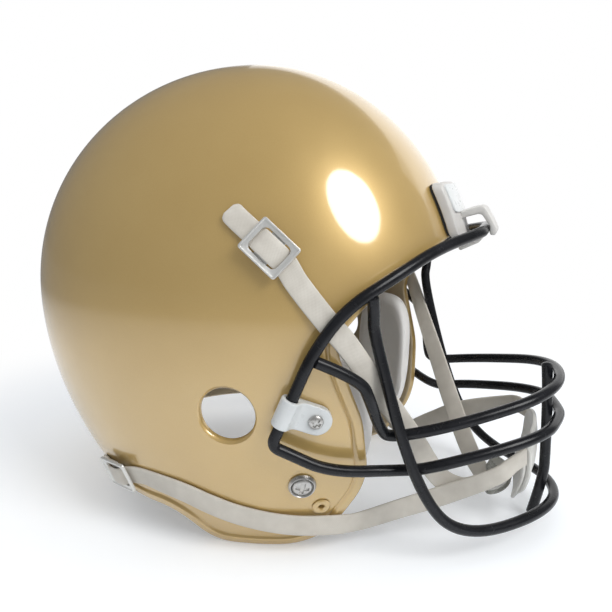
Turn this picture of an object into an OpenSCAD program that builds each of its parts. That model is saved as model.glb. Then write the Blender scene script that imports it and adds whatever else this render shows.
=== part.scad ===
// Football helmet: hard shell with a raised rim, padded liner, bent-wire face cage and a
// four-point chin strap. +X is the face side, +Y the wearer's left and +Z the crown.
// The jaw edges of the shell stand on z = 0. Sides are drawn on +Y and mirrored to -Y.

/* [Shell] */
// Shell length forward of the ear line
shell_front = 138; // [130:1:146]
// Shell length behind the ear line
shell_back = 154; // [144:1:164]
// Half of the shell's greatest width
shell_half_w = 114; // [106:1:122]
// Height of the crown above the ear line
crown_rise = 146; // [138:1:154]
// Height of the ear line above the jaw edge
ear_line = 136; // [130:1:142]
// Shell wall
wall = 4; // [3:0.25:5]
// Squareness of the plan section, where 2 is an ellipse
plan_square = 2.13; // [2:0.01:2.25]

/* [Rim] */
// Height of the nape edge above the jaw edge
nape_h = 21; // [15:1:28]
// Length of the flat jaw edge that the helmet stands on
jaw_flat = 50; // [40:1:60]
// How far the jaw's front edge lies behind the shell's front
jaw_back = 40; // [30:1:46]
// Width of the raised lip along the rim
lip_w = 6; // [4:0.5:9]
// Height of the raised lip
lip_rise = 1.2; // [0.8:0.1:2]

/* [Ear hole] */
// Bore of the ear hole
ear_d = 31; // [24:1:36]
// Width of the bevel round the ear hole
ear_bevel = 2.5; // [1:0.5:4]

/* [Face cage] */
// Wire diameter
wire_d = 6.4; // [5:0.2:7.5]
// Gap between the brow bar and the shell
cage_standoff = 4.6; // [4:0.2:6]
// How far the cage reaches past the shell's front
cage_reach = 59; // [52:1:66]
// Height of the upper ring's front
upper_ring_h = 98; // [92:1:104]
// Height of the lower ring's front
lower_ring_h = 73; // [66:1:78]
// Height of the bottom loop's front
bottom_h = 21; // [14:1:28]

/* [Clips and screws] */
// Width of a side clip
clip_w = 16; // [12:0.5:20]
// Thickness of a side clip's tongue
clip_t = 4.8; // [4:0.2:6]
// Wall of the clip's loop round the bar
clip_loop = 2.2; // [1.6:0.2:3]
// Screw shank diameter
screw_d = 4.8; // [4:0.2:6]
// Clip screw head diameter
screw_head_d = 8; // [7:0.2:10]
// Cup washer diameter
cup_d = 14.6; // [13:0.2:17]
// Grommet flange diameter
grommet_d = 10.6; // [10:0.2:13]
// Bore of the grommet
grommet_bore = 3.6; // [3:0.1:4.5]

/* [Chin strap] */
// Strap width
strap_w = 12.5; // [10:0.5:13]
// Strap thickness
strap_t = 1.8; // [1.2:0.1:2.4]
// Plate thickness of the buckle frames
buckle_t = 2; // [1.6:0.1:2.4]
// Length of a buckle frame
buckle_l = 25; // [24:0.5:28]
// Width of a buckle frame
buckle_w = 20.5; // [19.5:0.5:23]
// Head diameter of a snap stud
stud_d = 6; // [5.4:0.2:6.4]
// Half width of the chin cup's curve
cup_half_w = 41; // [39:0.5:43]
// Depth of the chin cup's curve, front to back
cup_depth = 34; // [32:0.5:36]
// Half height of the chin shield
cup_half_h = 26; // [24:0.5:27]
// Wall of the chin cup
cup_wall = 2.4; // [2:0.2:4]

/* [Liner] */
// Thickness of the liner pads
pad_t = 20; // [14:1:26]
// Thickness of the jaw pads
jaw_pad_t = 22; // [16:1:26]
// Space for hook-and-loop discs and nuts between the liner and the shell
pad_gap = 2.6; // [2.5:0.1:3]

/* [Bumper] */
// Half width of the nose bumper
bumper_half_w = 27; // [22:1:32]
// Height of the nose bumper up the shell
bumper_h = 33; // [28:1:38]
// Thickness of the nose bumper
bumper_t = 5.5; // [4:0.5:8]
// Thickness of the gasket under the bumper
gasket_t = 0.8; // [0.5:0.1:1.4]

/* [Hidden] */

shell_x = -24.05;
front_x = shell_x + shell_front;
back_x = shell_x - shell_back;
crown_z = ear_line + crown_rise;
drop_front = 192;
drop_back = 155.5;
drop_side = 195;
curl_front = 2.2;
curl_back = 1.92;
curl_side = 2.35;
fit = 0.3;
screw_fit = 0.15;
far = 400;

gold = [0.74, 0.62, 0.41];
black = [0.13, 0.14, 0.16];
steel = [0.72, 0.72, 0.72];
white = [0.85, 0.84, 0.8];
web = [0.82, 0.79, 0.74];
grey = [0.62, 0.62, 0.58];

// Small helpers
function unit(v) = v / norm(v);
function mix(a, b, t) = a + (b - a) * t;
function mirrored(path) = [for (i = [len(path) - 1:-1:0]) [path[i][0], -path[i][1], path[i][2]]];
function signed_power(v, p) = sign(v) * pow(abs(v), p);

// Shell surface. o is an offset outward from the outer skin.
function below(drop, reach, curl) = pow(1 - pow(min(0.98, drop / reach), curl), 1 / curl);
function level(z, reach, curl, o) =
    z >= ear_line ? sqrt(max(0, 1 - pow((z - ear_line) / (crown_rise + o), 2)))
                  : below(ear_line - z, reach, curl);
function reach_front(z, o) = (shell_front + o) * level(z, drop_front, curl_front, o);
function reach_back(z, o) = (shell_back + o) * level(z, drop_back, curl_back, o);
function reach_side(z, o) = (shell_half_w + o) * level(z, drop_side, curl_side, o);
function plan_rest(share) = pow(max(0, 1 - pow(min(1, abs(share)), plan_square)), 1 / plan_square);
function side_y(x, z, o) =
    reach_side(z, o) * plan_rest((x - shell_x) / (x > shell_x ? reach_front(z, o) : reach_back(z, o)));
function front_at(y, z, o) = shell_x + reach_front(z, o) * plan_rest(y / reach_side(z, o));
function back_at(y, z, o) = shell_x - reach_back(z, o) * plan_rest(y / reach_side(z, o));
function top_at(x, y, o) =
    let (along = abs(x - shell_x) / (x > shell_x ? shell_front + o : shell_back + o),
         across = abs(y) / (shell_half_w + o),
         s = pow(pow(along, plan_square) + pow(across, plan_square), 1 / plan_square))
    ear_line + (crown_rise + o) * sqrt(max(0, 1 - s * s));
function on_side(x, z, o = 0) = [x, side_y(x, z, o), z];
function side_normal(x, z) =
    unit([side_y(x - 0.5, z, 0) - side_y(x + 0.5, z, 0), 1, side_y(x, z - 0.5, 0) - side_y(x, z + 0.5, 0)]);
function front_normal(y, z) =
    unit([1, front_at(y - 0.5, z, 0) - front_at(y + 0.5, z, 0), front_at(y, z - 0.5, 0) - front_at(y, z + 0.5, 0)]);
function back_normal(y, z) =
    unit([-1, back_at(y + 0.5, z, 0) - back_at(y - 0.5, z, 0), back_at(y, z + 0.5, 0) - back_at(y, z - 0.5, 0)]);
function top_normal(x, y) =
    unit([top_at(x - 0.5, y, 0) - top_at(x + 0.5, y, 0), top_at(x, y - 0.5, 0) - top_at(x, y + 0.5, 0), 1]);

// A solid dome at the given offset from the outer skin, down to the height low
module dome(o, low) {
    around = 40;
    rise_steps = 9;
    drop_steps = 6;
    zs = concat(
        [for (i = [0:drop_steps - 1]) mix(low, ear_line, i / drop_steps)],
        [for (i = [0:rise_steps - 1]) ear_line + (crown_rise + o) * sin(90 * i / rise_steps)]
    );
    rows = [for (z = zs) [for (k = [0:around - 1])
        let (a = 360 * k / around, c = cos(a), s = sin(a))
        [shell_x + (c > 0 ? reach_front(z, o) : reach_back(z, o)) * signed_power(c, 2 / plan_square),
         reach_side(z, o) * signed_power(s, 2 / plan_square), z]]];
    points = concat([for (row = rows) each row], [[shell_x, 0, crown_z + o]], [[shell_x, 0, low]]);
    top = len(points) - 2;
    base = len(points) - 1;
    last = (len(zs) - 1) * around;
    faces = concat(
        [for (i = [0:len(zs) - 2]) for (k = [0:around - 1])
            let (n = (k + 1) % around, p = i * around)
            each [[p + k, p + around + k, p + n], [p + n, p + around + k, p + around + n]]],
        [for (k = [0:around - 1]) [last + k, top, last + (k + 1) % around]],
        [for (k = [0:around - 1]) [base, k, (k + 1) % around]]
    );
    polyhedron(points, faces);
}

// A closed outline [x, y, r] with each corner rounded to its radius
function rounded(corners, steps = 6) = [
    for (i = [0:len(corners) - 1])
        let (n = len(corners),
             p = corners[(i + n - 1) % n], q = corners[i], s = corners[(i + 1) % n],
             a = [q[0], q[1]], u = unit([p[0], p[1]] - a), v = unit([s[0], s[1]] - a),
             half = acos(u * v) / 2, cut = q[2] / tan(half),
             centre = a + unit(u + v) * (q[2] / sin(half)),
             from = a + u * cut - centre, to = a + v * cut - centre,
             turn = 180 - 2 * half, way = sign(from[0] * to[1] - from[1] * to[0]))
        each (q[2] == 0 ? [a]
            : [for (k = [0:steps]) let (t = way * turn * k / steps)
                centre + [from[0] * cos(t) - from[1] * sin(t), from[0] * sin(t) + from[1] * cos(t)]])
];

// Side view of the shell: nape, jaw edge, cheek and brow
jaw_x = front_x - jaw_back;
rim = [
    [back_x - 40, nape_h + 3, 0],
    [jaw_x - jaw_flat - 60, nape_h, 32],
    [jaw_x - jaw_flat - 39, 0, 26],
    [jaw_x - 29, 0, 38],
    [jaw_x, 46, 52],
    [jaw_x - 1.5, 86, 60],
    [jaw_x - 14.5, ear_line - 4, 22],
    [front_x - 25, ear_line + 31.5, 60],
    [front_x + 30, ear_line + 69, 0],
    [front_x + 30, crown_z + 40, 0],
    [back_x - 40, crown_z + 40, 0]
];

module rim_prism(inset = 0) {
    rotate([90, 0, 0])
        linear_extrude(far, center = true)
            offset(delta = -inset)
                polygon(rounded(rim));
}

// Turn a child's Z to the direction n at a point
module facing(point, n) {
    translate(point)
        rotate([0, acos(n[2]), atan2(n[1], n[0])])
            children();
}

// Stand a child on the left side of the shell at x, z: its Z points out of the shell and its X
// points down the skin, turned by spin about the outward direction
module stand(x, z, spin = 0) {
    facing(on_side(x, z), side_normal(x, z))
        rotate([0, 0, spin])
            children();
}

module both_sides() {
    children();
    mirror([0, 1, 0]) children();
}

module tapered_hole(outer_d, inner_d) {
    hull() {
        translate([0, 0, lip_rise + 1]) cylinder(d = outer_d, h = 0.5, $fn = 32);
        translate([0, 0, -1.5]) cylinder(d = inner_d, h = 0.1, $fn = 32);
    }
    translate([0, 0, -3 * wall]) cylinder(d = inner_d, h = 3 * wall, $fn = 32);
}

// Places of the hardware on the side of the shell
nut_d = 7;
grommet_barrel_d = 7.6;
ear_x = shell_x + 29;
ear_z = ear_line - 46;
clip_screw_x = front_x - 64;
clip_screw_z = ear_line - 45.5;
jaw_screw_x = front_x - 72.5;
jaw_screw_z = ear_line - 88.7;
grommet_x = front_x - 64.5;
grommet_z = ear_line - 105;
upper_stud_x = front_x - 86;
upper_stud_z = ear_line + 43;
lower_stud_x = shell_x - 50;
lower_stud_z = 38;

// The nose bumper covers the brow edge here, so the lip stops short of it
module bumper_bay() {
    translate([front_x - 40, -bumper_half_w - 1, brow_z - 12])
        cube([60, 2 * bumper_half_w + 2, bumper_h + 12]);
}

module shell() {
    color(gold)
    difference() {
        intersection() {
            union() {
                dome(0, -6);
                difference() {
                    dome(lip_rise, -6);
                    rim_prism(lip_w);
                    bumper_bay();
                }
            }
            rim_prism();
        }
        dome(-wall, -8);
        both_sides() {
            stand(ear_x, ear_z) tapered_hole(ear_d + 2 * ear_bevel, ear_d);
            stand(clip_screw_x, clip_screw_z) tapered_hole(nut_d + 0.4, nut_d + 0.4);
            stand(jaw_screw_x, jaw_screw_z) tapered_hole(nut_d + 0.4, nut_d + 0.4);
            stand(grommet_x, grommet_z) tapered_hole(grommet_barrel_d + 0.4, grommet_barrel_d + 0.4);
            stand(upper_stud_x, upper_stud_z) tapered_hole(screw_d, screw_d);
            stand(lower_stud_x, lower_stud_z) tapered_hole(screw_d, screw_d);
        }
    }
}

// A closed solid through a list of rings with equally many points each
module through(rings) {
    n = len(rings[0]);
    m = len(rings);
    points = [for (ring = rings) each ring];
    faces = concat(
        [[for (k = [0:n - 1]) k]],
        [for (i = [0:m - 2]) for (k = [0:n - 1])
            let (a = i * n + k, b = i * n + (k + 1) % n)
            each [[a, a + n, b], [b, a + n, b + n]]],
        [[for (k = [n - 1:-1:0]) (m - 1) * n + k]]
    );
    polyhedron(points, faces);
}

// The same without ends, for a wire that meets itself
module closed(rings) {
    n = len(rings[0]);
    m = len(rings);
    polyhedron([for (ring = rings) each ring], [for (i = [0:m - 1]) for (k = [0:n - 1])
        let (p = i * n, q = ((i + 1) % m) * n, j = (k + 1) % n)
        each [[p + k, q + k, p + j], [p + j, q + k, q + j]]]);
}

// Points of a bent wire: each corner is rounded from the middle of one leg to the middle of the next
function bent(corners, steps = 4) = concat([corners[0]], [
    for (i = [1:len(corners) - 2])
        let (b = corners[i],
             a = i == 1 ? corners[0] : (corners[i - 1] + b) / 2,
             c = i == len(corners) - 2 ? corners[i + 1] : (corners[i + 1] + b) / 2)
        each [for (k = [1:steps]) let (t = k / steps) (1 - t) * (1 - t) * a + 2 * t * (1 - t) * b + t * t * c]
]);

function heading(path, i) = let (n = len(path))
    unit(path[min(n - 1, i + 1)] - path[max(0, i - 1)]);

// Carry a side direction along a path without twist
function carried(path, i, side) =
    i == len(path) ? []
    : let (d = heading(path, i), s = unit(side - (side * d) * d)) concat([s], carried(path, i + 1, s));

module wire(corners, sides = 10) {
    path = bent(corners);
    sides_of = carried(path, 0, abs(heading(path, 0)[2]) > 0.8 ? [1, 0, 0] : [0, 0, 1]);
    through([for (i = [0:len(path) - 1])
        let (d = heading(path, i), a = sides_of[i], b = cross(d, a))
        [for (k = [0:sides - 1]) let (t = 360 * k / sides)
            path[i] + wire_d / 2 * (a * cos(t) + b * sin(t))]]);
}

// Cage wires. Corners are for the left side; the right side mirrors them.
cage_off = cage_standoff + wire_d / 2;
cage_x = front_x + cage_reach;
brow_z = ear_line + 44;
function over_shell(x, z) = on_side(x, z, cage_off);
foot = over_shell(front_x - 82.9, ear_line - 58.7);
shoulder = over_shell(front_x - 62, ear_line - 8);
temple = over_shell(front_x - 47.5, ear_line + 14.5);
arch = over_shell(front_x - 26, ear_line + 29.5);
brow = over_shell(front_x - 10, ear_line + 40.5);
loop_join = (temple + arch) / 2;
ring_join = (4 * mix(foot, shoulder, 0.81) + 4 * shoulder + (shoulder + temple) / 2) / 9;
nose = [front_x + 10, 0, ear_line + 47];
butt = wire_d / 2 + 0.35;
spread = shell_half_w / 114;
cheek = [front_x - 54.6, 98.4 * spread, lower_ring_h - 11.7];
corner_leg = 9.6;
ring_bend = [front_x - 40, 93.1 * spread, upper_ring_h + 15];
loop_dir = unit([0.1, -0.25, -1]);
loop_bend = [front_x - 37.4, 80.8 * spread, upper_ring_h + 36.5];

function to_right(half) = [for (i = [len(half) - 1:-1:0]) [half[i][0], -half[i][1], half[i][2]]];

module symmetric_wire(half) {
    wire(concat(half, to_right(half)));
}

// The outer frame is one closed wire: across the brow, down to a foot behind each cheek, and
// round the front as the lower ring. Its left half is swept and mirrored.
module outer_frame(sides = 10) {
    half = [
        nose + [0, 12, 0],
        nose + [0, 21, 0],
        brow,
        arch,
        temple,
        shoulder,
        mix(foot, shoulder, 0.6),
        foot + corner_leg * unit(shoulder - foot),
        foot,
        foot + corner_leg * unit(cheek - foot),
        cheek,
        [front_x - 23.5, 70.6 * spread, lower_ring_h - 18.8],
        [front_x - 6.3, 72.5 * spread, lower_ring_h - 14.1],
        [cage_x - 7.4, 41.7 * spread, lower_ring_h - 0.4],
        [cage_x + 1.8, 7, lower_ring_h - 0.3],
        [cage_x + 1.8, 0, lower_ring_h - 0.3]
    ];
    path = bent(concat([nose], half), 3);
    n = len(path);
    sides_of = carried(path, 0, [0, 0, 1]);
    rings = [for (i = [0:n - 1])
        let (d = i == 0 ? [0, 1, 0] : i == n - 1 ? [0, -1, 0] : heading(path, i), a = sides_of[i], b = cross(d, a))
        [for (k = [0:sides - 1]) let (t = 360 * k / sides)
            path[i] + wire_d / 2 * (a * cos(t) + b * sin(t))]];
    color(black) closed(concat(rings, [for (i = [n - 2:-1:1]) [for (q = rings[i]) [q[0], -q[1], q[2]]]]));
}

module upper_ring() {
    color(black) symmetric_wire([
        ring_join + butt * unit(ring_bend - ring_join),
        ring_bend,
        [front_x - 35.5, 90.7 * spread, upper_ring_h + 2.8],
        [front_x - 32.5, 79.9 * spread, upper_ring_h - 16.3],
        [front_x - 28.3, 74.5 * spread, upper_ring_h - 23.6],
        [front_x + 7.6, 64 * spread, upper_ring_h - 14.9],
        [cage_x - 0.2, 31.3 * spread, upper_ring_h - 1.1]
    ]);
}

module vertical_loop() {
    color(black) symmetric_wire([
        loop_join + (butt + 1) * loop_dir,
        loop_join + 10 * loop_dir,
        loop_bend,
        [front_x - 11.9, 79.7 * spread, lower_ring_h - 24.4],
        [front_x + 13, 68.4 * spread, bottom_h - 4],
        [cage_x + 3, 21.8 * spread, bottom_h - 1.4]
    ]);
}

module centre_bar() {
    inside = cage_x - wire_d - 0.2;
    color(black) wire([
        [inside - 1, 0, upper_ring_h + 5],
        [inside + 0.4, 0, upper_ring_h - 8],
        [inside + 1.5, 0, lower_ring_h],
        [inside + 2.6, 0, lower_ring_h - 26],
        [inside + 3, 0, bottom_h + 8],
        [inside - 1.2, 0, bottom_h - 14]
    ]);
}

// Side clips: a loop round the brow bar and a tongue under the clip screw
clip_n = side_normal(clip_screw_x, clip_screw_z);
clip_s = on_side(clip_screw_x, clip_screw_z);
bar_dir = unit(shoulder - foot);
clip_w_dir = unit(bar_dir - (bar_dir * clip_n) * clip_n);
clip_p = cross(clip_n, clip_w_dir);
bar_share = ((clip_s - foot) * bar_dir) / norm(shoulder - foot);
bar_from = mix(foot, shoulder, bar_share) - clip_s;
bar_p = bar_from * clip_p;
bar_n = bar_from * clip_n;
seat = 0.25;

module clip_frame() {
    multmatrix([
        [clip_p[0], clip_w_dir[0], clip_n[0], clip_s[0]],
        [clip_p[1], clip_w_dir[1], clip_n[1], clip_s[1]],
        [clip_p[2], clip_w_dir[2], clip_n[2], clip_s[2]]
    ])
        children();
}

module clip() {
    loop_r = wire_d / 2 + fit + 0.15;
    tip = clip_w / 2 + 1;
    color(white) clip_frame()
        difference() {
            union() {
                translate([bar_p, clip_w / 2, bar_n])
                    rotate([90, 0, 0])
                        cylinder(r = loop_r + clip_loop, h = clip_w, $fn = 32);
                translate([bar_p, -clip_w / 2, seat]) cube([tip - clip_w / 2 - bar_p, clip_w, clip_t]);
                translate([tip - clip_w / 2, 0, seat]) cylinder(d = clip_w, h = clip_t, $fn = 32);
            }
            translate([bar_p, clip_w, bar_n])
                rotate([90, 0, 0])
                    cylinder(r = loop_r, h = 2 * clip_w, $fn = 32);
            translate([0, 0, -1]) cylinder(d = screw_d + 2 * screw_fit, h = clip_t + 3, $fn = 24);
        }
}

// Screws drive into barrel nuts whose flanges sit inside the shell
inner_seat = -wall - 1;

module cross_recess(top) {
    for (a = [0, 90]) rotate([0, 0, a])
        translate([-2.3, -0.55, top - 1.3]) cube([4.6, 1.1, 3]);
}

module clip_screw() {
    r = screw_head_d / 2;
    low = seat + clip_t + 0.2;
    difference() {
        rotate_extrude($fn = 24)
            polygon([[0, -wall - 0.3], [screw_d / 2, -wall - 0.3], [screw_d / 2, low], [r, low],
                [r, low + 0.6], [r * 0.6, low + 2.1], [0, low + 2.5]]);
        cross_recess(low + 2.4);
    }
}

module barrel_nut() {
    rotate_extrude($fn = 24)
        polygon([[screw_d / 2 + screw_fit, inner_seat - 1.2], [6, inner_seat - 1.2], [6, inner_seat],
            [nut_d / 2, inner_seat], [nut_d / 2, -0.4], [screw_d / 2 + screw_fit, -0.4]]);
}

module cup_washer() {
    r = cup_d / 2;
    bore = screw_d / 2 + 2 * screw_fit;
    rotate_extrude($fn = 28)
        polygon([[bore, seat], [r, seat], [r, seat + 0.7], [r - 1.7, seat + 2.1], [r - 2.2, seat + 2.1],
            [bore, seat + 0.7]]);
}

module jaw_screw() {
    r = cup_d / 2 - 2.3;
    difference() {
        rotate_extrude($fn = 28)
            polygon([[0, -wall - 0.3], [screw_d / 2, -wall - 0.3], [screw_d / 2, seat + 1],
                [r, seat + 2.4], [r, seat + 2.6], [r * 0.6, seat + 3.5], [0, seat + 3.8]]);
        cross_recess(seat + 3.7);
    }
}

module grommet() {
    bore = grommet_bore / 2;
    barrel = grommet_barrel_d / 2;
    rotate_extrude($fn = 28)
        polygon([[bore, inner_seat - 1], [barrel + 1.3, inner_seat - 1], [barrel + 1.3, inner_seat],
            [barrel, inner_seat], [barrel, seat], [grommet_d / 2, seat], [grommet_d / 2, seat + 0.5],
            [grommet_d / 2 - 0.9, seat + 1.1], [bore + 0.8, seat + 1.1], [bore, seat + 0.5]]);
}

module clip_right() {
    mirror([0, 1, 0]) clip();
}

module clip_left() {
    clip();
}

module clip_screws() {
    color(steel) both_sides() stand(clip_screw_x, clip_screw_z) clip_screw();
}

module clip_nuts() {
    color(steel) both_sides() stand(clip_screw_x, clip_screw_z) barrel_nut();
}

module cup_washers() {
    color(steel) both_sides() stand(jaw_screw_x, jaw_screw_z) cup_washer();
}

module jaw_screws() {
    color(steel) both_sides() stand(jaw_screw_x, jaw_screw_z) jaw_screw();
}

module jaw_nuts() {
    color(steel) both_sides() stand(jaw_screw_x, jaw_screw_z) barrel_nut();
}

module jaw_grommets() {
    color(gold) both_sides() stand(grommet_x, grommet_z) grommet();
}

// Snap studs, and the buckles that snap over them. Both straps run forward to the chin.
upper_spin = -47;
lower_spin = -96;
frame_z = 3.9;
window_l = buckle_l - 6.5;
window_w = strap_w + 1.6;

module stud() {
    r = stud_d / 2;
    rotate_extrude($fn = 24)
        polygon([[0, inner_seat - 1.2], [4.5, inner_seat - 1.2], [4.5, inner_seat],
            [screw_d / 2 - screw_fit, inner_seat], [screw_d / 2 - screw_fit, seat], [4.6, seat],
            [4.6, seat + 0.6], [r - 0.7, seat + 0.6], [r - 0.7, seat + 1.4], [r, seat + 1.8],
            [r, seat + 2.1], [r - 0.6, seat + 2.4], [0, seat + 2.4]]);
}

module strap_studs() {
    color(steel) both_sides() {
        stand(upper_stud_x, upper_stud_z) stud();
        stand(lower_stud_x, lower_stud_z) stud();
    }
}

module soft_rectangle(l, w, r) {
    hull()
        for (x = [-1, 1]) for (y = [-1, 1])
            translate([x * (l / 2 - r), y * (w / 2 - r)]) circle(r = r, $fn = 24);
}

module buckle() {
    r = stud_d / 2;
    translate([0, 0, frame_z])
        linear_extrude(buckle_t)
            difference() {
                soft_rectangle(buckle_l, buckle_w, 1.4);
                soft_rectangle(window_l, window_w, 2.8);
            }
    translate([-4.4, -buckle_w / 2 + 0.8, frame_z - 1]) cube([8.8, buckle_w - 1.6, 1.2]);
    difference() {
        translate([0, 0, seat + 0.9]) cylinder(r = r + 1.4, h = frame_z - seat - 1.4, $fn = 24);
        translate([0, 0, -1]) cylinder(r = r + 0.3, h = seat + 4, $fn = 24);
    }
}

module buckle_upper_left() {
    color(steel) stand(upper_stud_x, upper_stud_z, upper_spin) buckle();
}

module buckle_upper_right() {
    mirror([0, 1, 0]) buckle_upper_left();
}

module buckle_lower_left() {
    color(steel) stand(lower_stud_x, lower_stud_z, lower_spin) buckle();
}

module buckle_lower_right() {
    mirror([0, 1, 0]) buckle_lower_left();
}

// Strap stations are [point, face direction, share of the full width]
function along_skin(x, z, o) = [on_side(x, z, o), side_normal(x, z), 1];
// The same where the strap stands off the curve of the jaw: it hangs from its top edge by the share given
function upright(x, z, o, share) = let (top = z + share * strap_w / 2, n = side_normal(x, top))
    [[x, side_y(x, top, o), z], unit([n[0], n[1], n[2] * (1 - share)]), 1];
function through_buckle(x, z, spin) = let (
        n = side_normal(x, z), phi = atan2(n[1], n[0]), theta = acos(n[2]),
        a = [cos(theta) * cos(phi), cos(theta) * sin(phi), -sin(theta)], b = [-sin(phi), cos(phi), 0],
        d = a * cos(spin) + b * sin(spin))
    [for (q = [[-10.5, 1.6], [-8.2, 2.4], [-5.4, 5.7], [0, 6.1], [5.4, 5.7], [8.2, 2.4], [10.5, 1.6]])
        [on_side(x, z) + d * q[0] + n * q[1],
         n, 1]];

module ribbon(stations) {
    path = [for (s = stations) s[0]];
    t = strap_t / 2;
    through([for (i = [0:len(path) - 1])
        let (d = heading(path, i), b = unit(cross(d, stations[i][1])), n = cross(b, d),
             w = strap_w / 2 * stations[i][2], c = min(0.6, w / 3))
        [for (q = [[t, c - w], [t, w - c], [t / 3, w], [-t / 3, w], [-t, w - c], [-t, c - w], [-t / 3, -w], [t / 3, -w]])
            path[i] + n * q[0] + b * q[1]]]);
}

lift = strap_t / 2 + 0.45;
upper_exit = on_side(front_x - 50, ear_line - 2, lift + lip_rise + 0.4);
exit_face = unit(side_normal(front_x - 50, ear_line - 2) + [0.1, 0, 0]);
lower_exit = [jaw_x - 7, side_y(jaw_x - 7, 15.6 + strap_w / 2, lift + lip_rise), 15.6];

// Both straps end on the chin cup. The list holds the free stations on the way there.
module upper_strap(free) {
    color(web) ribbon(concat(
        [
            [on_side(front_x - 108, ear_line + 62.3, lift), side_normal(front_x - 108, ear_line + 62.3), 0.4],
            [on_side(front_x - 106.6, ear_line + 61, lift), side_normal(front_x - 106.6, ear_line + 61), 0.8],
            [on_side(front_x - 104, ear_line + 58.6, lift), side_normal(front_x - 104, ear_line + 58.6), 1]
        ],
        through_buckle(upper_stud_x, upper_stud_z, upper_spin),
        [
            along_skin(front_x - 73.3, ear_line + 28.7, lift),
            along_skin(front_x - 67.5, ear_line + 20.6, lift),
            along_skin(front_x - 61.4, ear_line + 12.6, lift + 0.5),
            along_skin(front_x - 55.3, ear_line + 4.6, lift + lip_rise),
            [upper_exit, exit_face, 1]
        ],
        [for (share = [0.33, 0.67]) [mix(upper_exit, free[0][0], share), unit(mix(exit_face, free[0][1], share)), 1]],
        free
    ));
}

module lower_strap(way) {
    hang = rolled([front_x - 2, 49, 36.5], way);
    color(web) ribbon(concat(
        [
            [on_side(lower_stud_x - 19, 36.2, lift), side_normal(lower_stud_x - 19, 36.2), 0.4],
            [on_side(lower_stud_x - 17.5, 36.3, lift), side_normal(lower_stud_x - 17.5, 36.3), 0.8],
            [on_side(lower_stud_x - 14.5, 36.5, lift), side_normal(lower_stud_x - 14.5, 36.5), 1]
        ],
        through_buckle(lower_stud_x, lower_stud_z, lower_spin),
        [
            along_skin(lower_stud_x + 16, 39.9, lift),
            upright(shell_x - 18, 39.6, lift, 0.4),
            upright(shell_x - 1, 37, lift, 0.8),
            upright(shell_x + 14, 32, lift, 1),
            upright(shell_x + 28, 27.2, lift, 1),
            upright(shell_x + 44.5, 22.8, lift, 1),
            upright(shell_x + 61, 20.2, lift + lip_rise, 1),
            upright(jaw_x - 24, 18.6, lift + lip_rise + 0.3, 1),
            upright(jaw_x - 15, 17, lift + lip_rise + 0.3, 1),
            [lower_exit, unit([0.46, 0.88, -0.05]), 1],
            [mix(lower_exit, hang, 0.5), unit([0.5, 0.86, 0.05]), 1],
            [hang, unit([0.45, 0.89, 0.12]), 1],
            on_cup(67, 46.5, 2.2, way),
            on_cup(54, 51, 1.4, way),
            on_cup(38.5, 53.5, 1.4, way)
        ]
    ));
}

// The left strap runs inside the lower one to the cup's floor, the right one behind the lower one
// to the cup's side
module strap_upper_left() {
    upper_strap([
        [[front_x - 7, 41, 54], unit([0.35, 0.92, 0.15]), 1],
        [[front_x + 9, 22.5, 27], unit([0.5, 0.8, 0.3]), 1],
        [[front_x + 16.5, 15.5, 20.2], unit([0.45, 0.45, 0.77]), 0.9]
    ]);
}

module strap_upper_right() {
    mirror([0, 1, 0]) upper_strap([
        [[front_x - 2, 42.5, 38], unit([0.6, 0.78, 0.2]), 1],
        [[front_x + 9, 38, 29.5], unit([0.45, 0.88, 0.1]), 1],
        [[front_x + 20, 33.6, 26], unit([0.42, 0.9, 0.05]), 0.9]
    ]);
}

module strap_lower_left() {
    lower_strap(1);
}

module strap_lower_right() {
    mirror([0, 1, 0]) lower_strap(-1);
}

// The chin shield's surface: a is the angle round the chin and o the offset outward. The straps
// hold the whole cup rolled a little to one side.
cup_x = front_x + 50;
cup_mid = 43;
cup_roll = 10;
function cup_at(a, z, o) =
    [cup_x - cup_depth + (cup_depth + o) * cos(a) - (z < 48 ? 0.0107 : 0.004) * pow(z - 48, 2),
     (cup_half_w + o) * sin(a), z];
function rolled(p, way = 1) = let (s = way * sin(cup_roll), c = cos(cup_roll), z = p[2] - cup_mid)
    [p[0], p[1] * c - z * s, cup_mid + p[1] * s + z * c];
function on_cup(a, z, o, way) = let (p = rolled(cup_at(a, z, o), way))
    [p, unit(rolled(cup_at(a, z, o + 2), way) - p), 1];

// The cup's bowl under the chin: e is the angle down from its widest line
bowl_w = cup_half_w - 4.5;
bowl_d = cup_depth - 3.9;
function bowl_at(a, e, o) = [cup_x - cup_depth + (bowl_d + o) * cos(a) * cos(e),
    (bowl_w + o) * sin(a) * cos(e), cup_mid - 3 - (20 + o) * sin(e)];

module chin_tilt() {
    translate([0, 0, cup_mid])
        rotate([cup_roll, 0, 0])
            translate([0, 0, -cup_mid])
                children();
}

// A curved patch: place maps (u, v, offset) to a point; the profile lists [share, offset] from the
// middle of the outer face over the edge to the middle of the inner face
module patch(place, centre, half, profile, way = -1, square = 3, around = 28) {
    through([for (p = profile)
        [for (k = [0:around - 1])
            let (t = way * 360 * k / around)
            place(centre[0] + half[0] * p[0] * signed_power(cos(t), 2 / square),
                  centre[1] + half[1] * p[0] * signed_power(sin(t), 2 / square), p[1])]]);
}

function cushion(top, t) = [
    [0.03, top], [0.5, top], [0.82, top - 0.6], [0.96, top - 3], [1, top - t / 2],
    [0.96, top - t + 3.5], [0.84, top - t + 1.2], [0.5, top - t], [0.03, top - t - 0.6]
];
function plate(top, t) = [
    [0.03, top], [0.5, top], [0.94, top], [1, top - t * 0.35], [1, top - t * 0.8], [0.97, top - t],
    [0.5, top - t], [0.03, top - t]
];

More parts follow.
